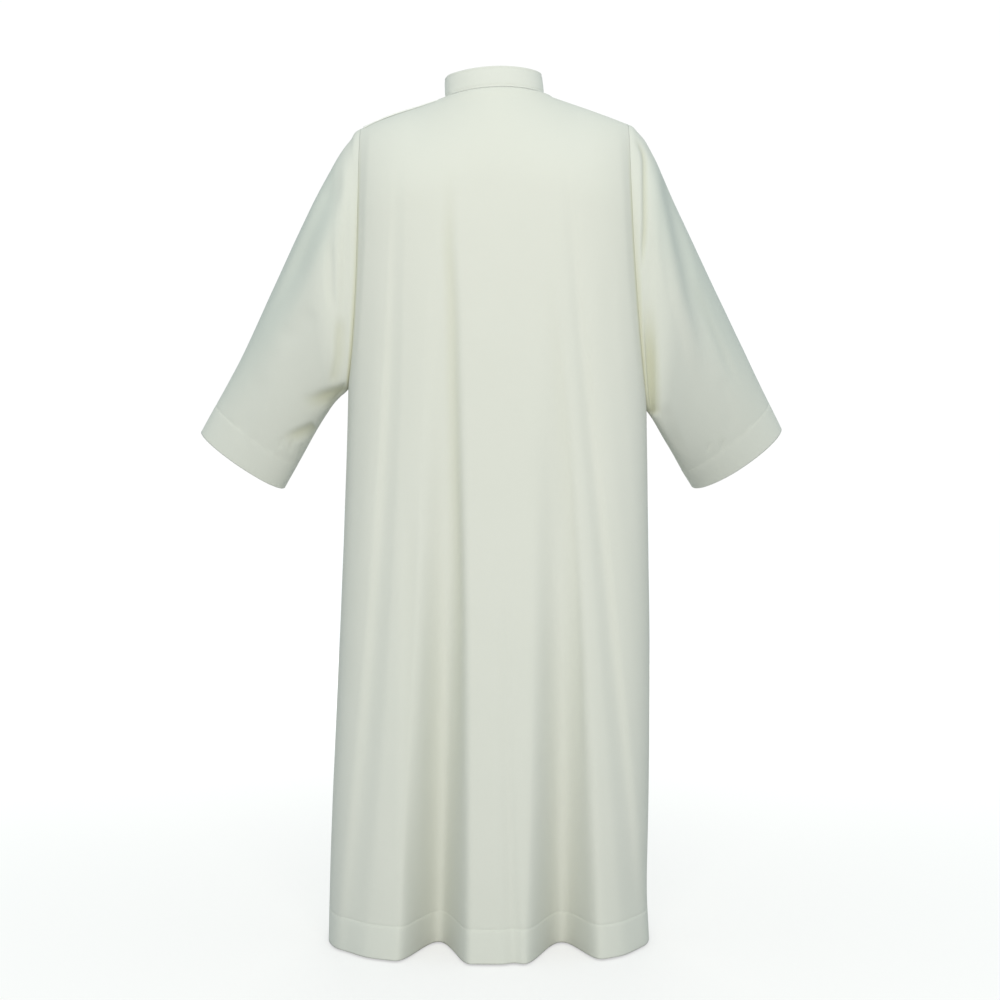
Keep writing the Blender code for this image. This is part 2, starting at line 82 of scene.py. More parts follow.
def travel(line: Array) -> Array:
    """Measures the length of a line of points from its first point to each point."""
    steps = np.linalg.norm(np.diff(line, axis=0), axis=1)
    return np.concatenate([[0.0], np.cumsum(steps)])


def along_line(line: Array, shares: Array) -> Array:
    """Reads points at shares of a line's length.

    Args:
        line: points in order.
        shares: from 0 at its start to 1 at its end.

    Returns:
        One point for each share.
    """
    lengths = travel(line)
    goals = np.clip(shares, 0.0, 1.0) * lengths[-1]
    return np.stack([np.interp(goals, lengths, line[:, axis]) for axis in range(3)], axis=1)


def at_length(line: Array, lengths: Array, goal: float) -> Array:
    """Reads a point of a line at a length from its start."""
    return np.array([np.interp(goal, lengths, line[:, axis]) for axis in range(3)])


def hermite(first: Array, second: Array, leave: Array, arrive: Array, t: Array | float) -> Array:
    """Goes smoothly from first to second, leaving and arriving at the stated speeds."""
    start = (2 * t**3 - 3 * t**2 + 1) * first + (t**3 - 2 * t**2 + t) * leave
    return start + (3 * t**2 - 2 * t**3) * second + (t**3 - t**2) * arrive


def ripple(points: Array, scale: float | Array) -> Array:
    """Reads a soft random unevenness at points, from about -1 to 1."""
    return np.array([noise.noise(Vector(place)) for place in points * scale])


def unit(vectors: Array) -> Array:
    """Gives vectors in the same directions with a length of 1."""
    return vectors / np.maximum(np.linalg.norm(vectors, axis=-1, keepdims=True), 1e-12)


def place_object(name: str, data: bpy.types.ID) -> bpy.types.Object:
    """Makes an object from its data and puts it in the scene.

    Args:
        name: the object's name.
        data: its mesh, light or camera.

    Returns:
        The object.
    """
    made = bpy.data.objects.new(name, data)
    bpy.context.scene.collection.objects.link(made)
    return made


def mesh_object(name: str, built: bmesh.types.BMesh) -> bpy.types.Object:
    """Turns a built mesh into an object in the scene and frees it.

    Args:
        name: the object's name.
        built: the mesh as it was built.

    Returns:
        The object, with smooth faces.
    """
    mesh = bpy.data.meshes.new(name)
    built.to_mesh(mesh)
    built.free()
    mesh.shade_smooth()
    return place_object(name, mesh)


class Curve:
    """A smooth curve through a table's keys and values."""

    def __init__(self, keys: list[float], values: list[float]) -> None:
        """Sorts the table and works out its slopes.

        Args:
            keys: where each value stands.
            values: the curve's heights there.
        """
        order = np.argsort(keys)
        self.keys = np.array(keys, float)[order]
        self.values = np.array(values, float)[order]
        low = np.maximum(np.arange(len(keys)) - 1, 0)
        high = np.minimum(np.arange(len(keys)) + 1, len(keys) - 1)
        self.slopes = (self.values[high] - self.values[low]) / (self.keys[high] - self.keys[low])

    def at(self, key: Array | float) -> Array:
        """Reads the curve.

        Args:
            key: where to read it.

        Returns:
            Its height there.
        """
        key = np.clip(key, self.keys[0], self.keys[-1])
        cell = np.clip(np.searchsorted(self.keys, key, side="right") - 1, 0, len(self.keys) - 2)
        span = self.keys[cell + 1] - self.keys[cell]
        leave, arrive = span * self.slopes[cell], span * self.slopes[cell + 1]
        share = (key - self.keys[cell]) / span
        return hermite(self.values[cell], self.values[cell + 1], leave, arrive, share)


@dataclass(frozen=True)
class Level:
    """The half widths and depths of the filled-out body at one height."""

    height: float
    left: float
    right: float
    back: float
    front: float


@dataclass(frozen=True)
class Trough:
    """A hollow between two hanging folds, from where it starts down to the hem."""

    start: float
    x_start: float
    x_middle: float
    x_hem: float
    left: float
    right: float
    depth_middle: float
    depth_hem: float


@dataclass(frozen=True)
class Station:
    """One section of a sleeve: its upper and lower edges, its depths and its lead."""

    along: float
    top_x: float
    top_z: float
    under_x: float
    under_z: float
    middle_y: float
    back: float
    front: float
    lead: float


@dataclass(frozen=True)
class NeckEdge:
    """How deep and how high the neck edge of the back or the front lies."""

    depth: float
    rise: float
    yoke_rise: float


@dataclass(frozen=True)
class Crease:
    """A soft trough along a line on the cloth, or a ridge where its depth is below 0.

    The line's places are x and z. A sharp crease comes to a point, a soft one is rounded. Its tone
    is how much painted shade, darker and warmer like the light between folds of cloth, goes into it.
    """

    places: tuple[tuple[float, float], ...]
    left: float
    right: float
    depth: float
    face: Face = Face.BACK
    start_fade: float = 0.25
    end_fade: float = 0.35
    sharp: float = 0.0
    tone: float = 0.12

    def depths(self, x: Array, z: Array) -> Array:
        """Works out how far the crease pushes the cloth in.

        Args:
            x: where the cloth's points are across.
            z: how high they are.

        Returns:
            The depth at each point.
        """
        line = np.array(self.places)
        lengths = travel(line)
        nearest = np.full(len(x), np.inf)
        across = np.zeros(len(x))
        share = np.zeros(len(x))
        for i, (first, second) in enumerate(zip(line, line[1:])):
            run = second - first
            t = np.clip(((x - first[0]) * run[0] + (z - first[1]) * run[1]) / (run @ run), 0.0, 1.0)
            off_x, off_z = x - first[0] - t * run[0], z - first[1] - t * run[1]
            distance = np.hypot(off_x, off_z)
            closer = distance < nearest
            nearest = np.where(closer, distance, nearest)
            across = np.where(closer, np.sign(run[0] * off_z - run[1] * off_x), across)
            share = np.where(closer, (lengths[i] + t * np.linalg.norm(run)) / lengths[-1], share)
        reach = np.clip(nearest / np.where(across < 0.0, self.left, self.right), 0.0, 1.0)
        profile = mix(np.cos(0.5 * math.pi * reach) ** 2, (1.0 - reach) ** 2, self.sharp)
        fade = ease(share, 0.0, self.start_fade) * (1.0 - ease(share, 1.0 - self.end_fade, 1.0))
        return self.depth * profile * fade


@dataclass
class BodyForm:
    """The filled-out body of the robe as one smooth surface, in the same sizes as its solids.

    A row is 0 at the shoulder, 1 under the arm and 2 at the hem. An angle is 0 at the wearer's left
    side and half a turn at the right one.
    """

    fineness: int = 6
    collar_gap: float = 0.0003
    seam_edge: float = 0.0025
    corner_reach: float = 0.012
    neck_half_width: float = 0.083
    neck_tilt: float = 0.040
    neck_slope: float = 0.70
    seam_drop: float = 0.03
    shoulder_slopes: tuple[float, float] = (0.356, 0.385)
    shoulder_softness: float = 0.060
    shoulder_depth: float = 0.170
    tip_start: float = 0.160
    tip_span: float = 0.0685
    tip_drop: float = 0.0040
    yoke_half_width: float = 0.140
    yoke_curve: float = 1.5
    top_level: float = -0.030
    blunt_width: float = 0.200
    bluntness: float = 0.5
    row_gather: float = 0.72
    squareness: float = 2.6
    hem_height: float = -1.421
    hem_turn: float = 0.054
    fold_top_share: float = 0.42
    underarms: tuple[float, float] = (-0.495, -0.532)
    insets: tuple[float, float] = (0.0215, 0.0260)
    inset_curves: tuple[float, float] = (3.0, 2.2)
    seam_tuck: float = 0.007
    tuck_width: float = 0.024
    armhole_steps: int = 14
    shoulder_steps: int = 9
    neck_steps: int = 14
    skirt_rows: int = 104
    column_blend: float = 0.30
    edge_share: float = 0.35
    samples: int = 520
    levels: tuple[Level, ...] = (
        Level(0.000, 0.2500, 0.2515, 0.118, 0.116),
        Level(-0.100, 0.2500, 0.2520, 0.124, 0.126),
        Level(-0.200, 0.2500, 0.2530, 0.130, 0.136),
        Level(-0.350, 0.2495, 0.2550, 0.131, 0.139),
        Level(-0.500, 0.2483, 0.2566, 0.131, 0.137),
        Level(-0.690, 0.2530, 0.2590, 0.134, 0.138),
        Level(-0.940, 0.2630, 0.2620, 0.144, 0.144),
        Level(-1.190, 0.2740, 0.2600, 0.158, 0.154),
        Level(-1.330, 0.2790, 0.2570, 0.167, 0.160),
        Level(-1.421, 0.2810, 0.2600, 0.173, 0.164),
    )
    necks: dict[Face, NeckEdge] = field(default_factory=lambda: {
        Face.BACK: NeckEdge(0.062, 0.006, -0.009),
        Face.FRONT: NeckEdge(0.078, -0.055, -0.070),
    })
    troughs: dict[Face, tuple[Trough, ...]] = field(default_factory=lambda: {
        Face.BACK: (
            Trough(-0.110, -0.079, -0.079, -0.093, 0.070, 0.054, 0.027, 0.118),
            Trough(-0.270, 0.086, 0.106, 0.110, 0.066, 0.066, 0.024, 0.112),
            Trough(-0.110, 0.114, 0.177, 0.238, 0.034, 0.022, 0.006, 0.007),
            Trough(-0.110, -0.160, -0.187, -0.242, 0.026, 0.036, 0.005, 0.006),
            Trough(-0.820, 0.016, 0.020, 0.030, 0.018, 0.018, 0.003, 0.007),
        ),
        Face.FRONT: (
            Trough(-0.180, -0.055, -0.064, -0.070, 0.060, 0.060, 0.024, 0.096),
            Trough(-0.240, 0.092, 0.104, 0.116, 0.066, 0.056, 0.022, 0.090),
            Trough(-0.140, -0.150, -0.176, -0.205, 0.030, 0.032, 0.008, 0.020),
            Trough(-0.160, 0.160, 0.186, 0.212, 0.026, 0.026, 0.007, 0.014),
            Trough(-0.700, 0.014, 0.020, 0.026, 0.022, 0.022, 0.004, 0.010),
        ),
    })

    def __post_init__(self) -> None:
        """Makes the curves through the levels."""
        heights = [level.height for level in self.levels]
        names = ("left", "right", "back", "front")
        self.curves = {n: Curve(heights, [getattr(level, n) for level in self.levels]) for n in names}
        self.pairs = {Side.LEFT: 0, Side.RIGHT: 1}

    def half_width(self, height: float, side: Side) -> float:
        """Reads how far the body reaches to one side at a height."""
        return float(self.curves[side.name.lower()].at(height))

    def shoulder_height(self, x: Array) -> Array:
        """Works out the line over the shoulders, carried on across the neck.

        The wearer's left shoulder falls more at its tip.

        Args:
            x: where to read it.

        Returns:
            Its height.
        """
        neck = self.neck_half_width
        slope = mix(self.shoulder_slopes[0], self.shoulder_slopes[1], ease(x, -neck, neck))
        soft = self.shoulder_softness
        tip = np.maximum(-x - self.tip_start, 0.0) / self.tip_span
        line = self.neck_tilt * np.clip(x, -neck, neck) - self.tip_drop * tip**2
        return line - slope * (np.hypot(x, soft) - math.hypot(neck, soft))

    def top_edge(self, face: Face, x: Array) -> Array:
        """Works out the neck edge in the middle and the shoulder seam outside it.

        Args:
            face: back or front.
            x: where to read it.

        Returns:
            One point for each x.
        """
        edge = self.necks[face]
        part = np.maximum(1.0 - (x / self.neck_half_width) ** 2, 0.0)
        z = np.where(part > 0.0, self.neck_tilt * x + edge.rise * part, self.shoulder_height(x))
        return np.stack([x, face.value * edge.depth * np.sqrt(part), z], axis=1)

    def underarm_height(self, x: Array) -> Array:
        """Reads how high the row under the arms lies, which slants from side to side.

        Args:
            x: where to read it.

        Returns:
            Its height.
        """
        level = self.level_of(1.0)
        whole = self.half_width(level, Side.RIGHT) + self.half_width(level, Side.LEFT)
        return mix(self.underarms[0], self.underarms[1], np.clip(0.5 + x / whole, 0.0, 1.0))

    def level_of(self, row: float) -> float:
        """Works out the height at which a row's widths are read.

        Args:
            row: which section.

        Returns:
            The height.
        """
        under = 0.5 * sum(self.underarms)
        if row <= 1.0:
            return mix(self.top_level, under, row)
        return mix(under, self.hem_height, row - 1.0)

    def inset(self, side: Side, row: float) -> float:
        """Gives how far the armhole lies inside the body's side at a row."""
        pair = self.pairs[side]
        return self.insets[pair] * (1.0 - row ** self.inset_curves[pair])

    def trough_depth(self, face: Face, x: Array, z: Array) -> Array:
        """Works out how far the troughs between the folds push the cloth in.

        Args:
            face: back or front.
            x: where the points are across.
            z: how high they are.

        Returns:
            The depth at each point.
        """
        total = np.zeros(len(x))
        for fold in self.troughs[face]:
            run = (fold.start - z) / (fold.start - self.hem_height)
            centre = self.three_point(run, fold.x_start, fold.x_middle, fold.x_hem)
            depth = self.three_point(run, 0.0, fold.depth_middle, fold.depth_hem)
            width = np.where(x < centre, fold.left, fold.right) * mix(self.fold_top_share, 1.0, run)
            offset = np.abs(x - centre) / np.maximum(width, 1e-6)
            inside = (run > 0.0) & (offset < 1.0)
            total += np.where(inside, depth * np.cos(0.5 * math.pi * np.minimum(offset, 1.0)) ** 2, 0.0)
        return total

    @staticmethod
    def three_point(run: Array, start: float, middle: float, end: float) -> Array:
        """Gives a parabola through its values at 0, one half and 1."""
        bend = 2.0 * (start + end - 2.0 * middle)
        return start + (end - start - bend) * run + bend * run * run

    def arc(self, face: Face, row: float, first: float, last: float) -> Array:
        """Works out a close line of points of one section.

        Args:
            face: back or front.
            row: which section.
            first: the angle it starts at.
            last: the angle it ends at.

        Returns:
            The points in order.
        """
        level = self.level_of(row)
        steps = np.arange(self.samples + 1) / self.samples
        angle = mix(first, last, 0.5 - 0.5 * np.cos(math.pi * steps))
        power = 2.0 / self.squareness
        left = angle < 0.5 * math.pi
        reach = np.where(left, -self.half_width(level, Side.LEFT), self.half_width(level, Side.RIGHT))
        x = reach * np.abs(np.cos(angle)) ** power
        edge = self.necks[face]
        part = np.maximum(1.0 - (x / self.yoke_half_width) ** 2, 0.0) ** self.yoke_curve
        top = self.shoulder_height(x) + edge.yoke_rise * part
        under = self.underarm_height(x)
        if row <= 1.0:
            gather = mix(self.row_gather, 1.0, ease(np.abs(x), 0.0, self.blunt_width))
            z = mix(top, under, row ** gather)
        else:
            z = mix(under, self.hem_height, row - 1.0)
        depth = float(self.curves[face.name.lower()].at(level))
        full = face.value * depth * np.abs(np.sin(angle)) ** power
        share = np.minimum((top - z) / self.shoulder_depth, 1.0)
        blunt = 1.0 - self.bluntness * ease(np.abs(x), 0.0, self.blunt_width)
        y = mix(face.value * edge.depth * part, full, (1.0 - (1.0 - share) ** 2) ** blunt)
        y = y - face.value * self.trough_depth(face, x, z)
        return np.stack([x, y, z], axis=1)

    def edge_angle(self, side: Side, row: float) -> float:
        """Works out where a section ends, at the armhole or at the side seam.

        Args:
            side: the wearer's left or right.
            row: which section.

        Returns:
            The angle.
        """
        if row >= 1.0:
            return 0.0 if side is Side.LEFT else math.pi
        width = self.half_width(self.level_of(row), side)
        cosine = ((width - self.inset(side, row)) / width) ** (0.5 * self.squareness)
        angle = math.acos(min(cosine, 1.0))
        return angle if side is Side.LEFT else math.pi - angle

    def section(self, face: Face, row: float) -> Array:
        """Works out one row of a panel, from its left edge to its right one.

        Args:
            face: back or front.
            row: which section.

        Returns:
            A close line of points.
        """
        line = self.arc(face, row, self.edge_angle(Side.LEFT, row), self.edge_angle(Side.RIGHT, row))
        if row < 1.0:
            tuck = self.seam_tuck * math.sin(math.pi * row) ** 0.5
            ends = [np.linalg.norm(line - line[end], axis=1) for end in (0, -1)]
            line[:, 1] -= face.value * tuck * (1.0 - ease(np.minimum(*ends), 0.0, self.tuck_width))
        return line

    def neck_points(self, face: Face) -> Array:
        """Gives the neck edge from the wearer's left to the right."""
        angles = math.pi * np.arange(self.neck_steps * self.fineness + 1) / (self.neck_steps * self.fineness)
        return self.top_edge(face, -self.neck_half_width * np.cos(angles))

    def shoulder_reach(self, side: Side) -> float:
        """Gives how far out the shoulder seam ends."""
        return self.half_width(self.level_of(0.0), side) - self.inset(side, 0.0)

    def top_points(self, face: Face) -> Array:
        """Works out the points along the top of a panel: shoulder seam, neck edge, shoulder seam.

        Args:
            face: back or front.

        Returns:
            The points from left to right.
        """
        count = self.shoulder_steps * self.fineness
        shares = np.arange(count) / count
        left, right = -self.shoulder_reach(Side.LEFT), self.shoulder_reach(Side.RIGHT)
        left_x = mix(left + self.seam_edge, -self.neck_half_width, shares)
        right_x = mix(right - self.seam_edge, self.neck_half_width, shares)
        left_seam = self.top_edge(face, np.concatenate([[left], left_x]))
        right_seam = self.top_edge(face, np.concatenate([[right], right_x]))
        return np.concatenate([left_seam, self.neck_points(face), right_seam[::-1]])

    def column_shares(self, face: Face, row: float, top: Array, length: float) -> Array:
        """Spreads a panel's columns over a section, as along its top at first and evenly below.

        Args:
            face: back or front.
            row: which section.
            top: the points along the panel's top.
            length: how long the section is.

        Returns:
            A share of the section for each column.
        """
        left = travel(self.arc(face, row, 0.0, self.edge_angle(Side.LEFT, row)))[-1]
        right = travel(self.arc(face, row, self.edge_angle(Side.RIGHT, row), math.pi))[-1]
        whole = left + length + right
        even = np.clip((np.arange(len(top)) - 1) / (len(top) - 3), 0.0, 1.0)
        squeeze = left * np.maximum(1.0 - even / self.edge_share, 0.0) ** 2
        squeeze -= right * np.maximum(1.0 - (1.0 - even) / self.edge_share, 0.0) ** 2
        even = (even * whole + squeeze - left) / length
        lengths = travel(top)
        shares = mix(lengths / lengths[-1], even, ease(row, 0.0, self.column_blend))
        shares[0], shares[-1] = 0.0, 1.0
        shares[1] = min(shares[1], 0.5 * shares[2]) if shares[1] > 0.0 else 0.5 * shares[2]
        shares[-2] = 1.0 - 0.5 * (1.0 - shares[-3])
        return shares

    def seam_row(self, face: Face, top: Array) -> Array:
        """Works out the row beside the top edge, level along the shoulders and sloping off the neck.

        Args:
            face: back or front.
            top: the points along the panel's top.

        Returns:
            The row's points.
        """
        neck = self.neck_half_width
        part = np.maximum(1.0 - (top[:, 0] / neck) ** 2, 0.0)
        radial = unit(top * np.array([1.0, 1.0, 0.0]))
        level = np.tile([0.0, float(face.value), 0.0], (len(top), 1))
        out = np.where((np.abs(top[:, 0]) > neck + 1e-9)[:, None], level, radial)
        corner = np.stack([np.sign(top[:, 0]), np.full(len(top), float(face.value)), np.zeros(len(top))], 1)
        gap = np.hypot(np.abs(top[:, 0]) - neck, top[:, 1])
        out = unit(mix(unit(corner), out, ease(gap, 0.0, self.corner_reach)[:, None]))
        out[:, 2] -= self.neck_slope * part + self.seam_drop
        return top + out * self.seam_edge

    def rows(self) -> tuple[list[float], list[float]]:
        """Works out the fine rows above and below the underarm, closer at the hem.

        Returns:
            The upper and the lower rows.
        """
        count = self.armhole_steps * self.fineness
        upper = [0.5 - 0.5 * math.cos(math.pi * i / count) for i in range(self.fineness, count + 1)]
        drop = 0.5 * sum(self.underarms) - self.hem_height
        turn = self.hem_turn / drop
        lower = [1.0 + (1.0 - turn) * i / self.skirt_rows for i in range(1, self.skirt_rows)]
        hem = [2.0 - turn + turn * share for share in HEM_SHARES]
        return upper, lower + hem

    def panel_grid(self, face: Face) -> Array:
        """Works out the fine rows and columns of the back or the front.

        Args:
            face: back or front.

        Returns:
            Points by row and column.
        """
        top = self.top_points(face)
        first = self.seam_row(face, top)
        upper, lower = self.rows()
        lines = []
        for row in upper + lower:
            line = self.section(face, row)
            lines.append(along_line(line, self.column_shares(face, row, top, travel(line)[-1])))
        start = unit(first - top)
        end = unit(lines[1] - lines[0])
        chord = np.linalg.norm(lines[0] - first, axis=1, keepdims=True)
        between = [hermite(first, lines[0], chord * start, chord * end, t) for t in SHOULDER_SHARES]
        return np.stack([top, first] + between + lines)

    def armhole(self, side: Side, fineness: int) -> tuple[Array, Array, Array]:
        """Works out the armhole from the shoulder down the back and up the front.

        Args:
            side: the wearer's left or right.
            fineness: how many points for each step of the solid.

        Returns:
            The ring's points, and the cosine and the signed sine round the sleeve for each.
        """
        end = 0 if side is Side.LEFT else -1
        count = self.armhole_steps * fineness
        rows = [0.5 - 0.5 * math.cos(math.pi * i / count) for i in range(count + 1)]
        back = [self.section(Face.BACK, row)[end] for row in rows[1:]]
        front = [self.section(Face.FRONT, row)[end] for row in rows[1:-1]]
        ring = np.array([self.top_points(Face.BACK)[end]] + back + front[::-1])
        turns = [(1.0 - 2.0 * row, -2.0 * math.sqrt(row * (1.0 - row))) for row in rows]
        turns += [(cosine, -sine) for cosine, sine in turns[-2:0:-1]]
        return ring, np.array([t[0] for t in turns]), np.array([t[1] for t in turns])


class Graph:
    """The nodes of a material or of the surroundings, with shorter ways to add and join them."""

    def __init__(self, tree: bpy.types.NodeTree) -> None:
        """Keeps the tree whose nodes are made."""
        self.tree = tree

    def add(self, kind: str, **inputs: Socket | float | tuple[float, ...]) -> bpy.types.Node:
        """Adds a node, with its inputs joined to a socket or set to a value.

        Args:
            kind: the node's type, without ShaderNode, and its operation after a colon.
            inputs: by input name with _ for a blank, or by number after i.

        Returns:
            The new node.
        """
        kind, _, operation = kind.partition(":")
        node = self.tree.nodes.new(f"ShaderNode{kind}")
        if operation:
            node.operation = operation
        self.fill(node, **inputs)
        return node

    def fill(self, node: bpy.types.Node, **inputs: Socket | float | tuple[float, ...]) -> None:
        """Joins a node's inputs to sockets or sets their values.

        Args:
            node: the node.
            inputs: by input name with _ for a blank, or by number after i.
        """
        for name, value in inputs.items():
            numbered = name[0] == "i" and name[1:].isdigit()
            socket = node.inputs[int(name[1:])] if numbered else node.inputs[name.replace("_", " ")]
            if isinstance(value, bpy.types.NodeSocket):
                self.tree.links.new(value, socket)
            else:
                socket.default_value = value

    def times(self, value: Socket, factor: Socket | float) -> Socket:
        """Multiplies a value by a factor."""
        return self.add("Math:MULTIPLY", i0=value, i1=factor).outputs[0]

    def blend(self, share: Socket, first: Socket | Colour, second: Colour) -> Socket:
        """Blends a second colour over a first one by a share.

        Args:
            share: how much of the second colour shows.
            first: the colour below.
            second: the colour on top.

        Returns:
            The blended colour.
        """
        mixer = self.add("Mix")
        mixer.data_type = "RGBA"
        plain = first if isinstance(first, bpy.types.NodeSocket) else (*first, 1.0)
        self.fill(mixer, i0=share, i6=plain, i7=(*second, 1.0))
        return mixer.outputs[2]


def new_material(name: str) -> tuple[bpy.types.Material, Graph, bpy.types.Node]:
    """Makes a material.

    Args:
        name: its name.

    Returns:
        The material, its nodes and its main shader.
    """
    made = bpy.data.materials.new(name)
    made.use_nodes = True
    return made, Graph(made.node_tree), made.node_tree.nodes["Principled BSDF"]


@dataclass(frozen=True)
class ClothFinish:
    """Matt plain-weave cloth, with its threads, slubs, soft sheen, slight changes of colour and marks of
    painted shade.
    """

    name: str
    colour: Colour
    shade: Colour
    roughness: float = 0.82
    specular: float = 0.25
    sheen: float = 0.05
    sheen_roughness: float = 0.45
    sheen_tint: Colour = (1.0, 1.0, 0.97)
    thread: float = 0.00042
    weave_depth: float = 0.00006
    slub_depth: float = 0.00010
    relief: float = 0.5
    cloud_scale: float = 3.2
    cloud_span: tuple[float, float] = (0.3, 0.7)
    slub_scale: tuple[float, float, float] = (90.0, 1400.0, 1.0)
    weft_scale: tuple[float, float, float] = (60.0, 900.0, 1.0)
    weft_tone: float = 0.30
    weft_shade: float = 0.95
    # colours of the marks: 'turned' is painted cool shade on the sleeves, 'fold' painted warm shade in
    # creases and along the armholes, 'doubled' the paler doubled bands
    marks: tuple[tuple[str, Colour, float], ...] = (
        ("turned", (0.56, 0.63, 0.60), 0.5),
        ("fold", (0.59, 0.59, 0.43), 0.75),
        ("doubled", (0.80, 0.815, 0.765), 0.5),
    )

    def material(self) -> bpy.types.Material:
        """Makes the cloth's material, with its weave on the piece's own UV map in metres.

        Returns:
            The material.
        """
        made, graph, shader = new_material(self.name)
        graph.fill(shader, Roughness=self.roughness, Specular_IOR_Level=self.specular,
                   Sheen_Weight=self.sheen, Sheen_Roughness=self.sheen_roughness,
                   Sheen_Tint=(*self.sheen_tint, 1.0))
        uv = graph.add("UVMap")
        uv.uv_map = "grain"
        graph.fill(shader, Base_Color=self.colours(graph), Normal=self.relief_of(graph, uv.outputs["UV"]))
        return made

    def colours(self, graph: Graph) -> Socket:
        """Adds the cloth's colour: clouds, weft threads, its paler doubled bands and its marks of painted
        shade.

        Args:
            graph: the material's nodes.

        Returns:
            The colour.
        """
        place = graph.add("TexCoord").outputs
        cloud = graph.add("TexNoise", Vector=place["Object"], Scale=self.cloud_scale, Detail=3.0)
        low, high = self.cloud_span
        wide = graph.add("MapRange", Value=cloud.outputs["Fac"], From_Min=low, From_Max=high)
        grain = graph.add("Mapping", Vector=place["UV"], Scale=self.weft_scale)
        weft = graph.add("TexNoise", Vector=grain.outputs["Vector"], Scale=1.0, Detail=2.0)
        colour = graph.blend(wide.outputs["Result"], self.colour, self.shade)
        darker = tuple(self.weft_shade * part for part in self.shade)
        colour = graph.blend(graph.times(weft.outputs["Fac"], self.weft_tone), colour, darker)
        for name, tone, share in self.marks:
            mark = graph.add("Attribute")
            mark.attribute_name = name
            colour = graph.blend(graph.times(mark.outputs["Fac"], share), colour, tone)
        return colour

    def relief_of(self, graph: Graph, uv: Socket) -> Socket:
        """Adds the threads and the slubs as relief.

        Args:
            graph: the material's nodes.
            uv: the grain map in metres.

        Returns:
            The direction in which the cloth faces.
        """
        turns = graph.add("VectorMath:SCALE", i0=uv, Scale=math.pi / self.thread)
        parts = graph.add("SeparateXYZ", Vector=turns.outputs["Vector"])
        waves = [graph.add("Math:SINE", i0=parts.outputs[axis]).outputs[0] for axis in ("X", "Y")]
        stretched = graph.add("Mapping", Vector=uv, Scale=self.slub_scale)
        slub = graph.add("TexNoise", Vector=stretched.outputs["Vector"], Scale=1.0, Detail=2.0)
        threads = graph.add("Bump", Strength=self.relief, Distance=self.weave_depth,
                            Height=graph.times(*waves))
        slubs = graph.add("Bump", Strength=self.relief, Distance=self.slub_depth, Height=slub.outputs["Fac"],
                          Normal=threads.outputs["Normal"])
        return slubs.outputs["Normal"]


@dataclass(frozen=True)
class ThreadFinish:
    """Twisted sewing thread, a little glossier than the cloth."""

    name: str
    colour: Colour
    roughness: float = 0.55
    sheen: float = 0.2
    twist_scale: float = 900.0
    twist_shade: float = 0.86

    def material(self) -> bpy.types.Material:
        """Makes the thread's material.

        Returns:
            The material.
        """
        made, graph, shader = new_material(self.name)
        place = graph.add("TexCoord").outputs["Object"]
        twist = graph.add("TexNoise", Vector=place, Scale=self.twist_scale).outputs["Fac"]
        darker = tuple(self.twist_shade * part for part in self.colour)
        graph.fill(shader, Roughness=self.roughness, Sheen_Weight=self.sheen,
                   Base_Color=graph.blend(twist, self.colour, darker))
        return made


def round_edges(piece: bpy.types.Object, width: float) -> None:
    """Rounds the pressed edges of a doubled band.

    Args:
        piece: the band, with its wall.
        width: how wide the rounding is.
    """
    edge = piece.modifiers.new("pressed_edge", "BEVEL")
    edge.affect = "EDGES"
    edge.width = width
    edge.segments = 2
    edge.profile = 0.5
    edge.material = -1
    edge.limit_method = "ANGLE"
    edge.angle_limit = math.radians(50.0)


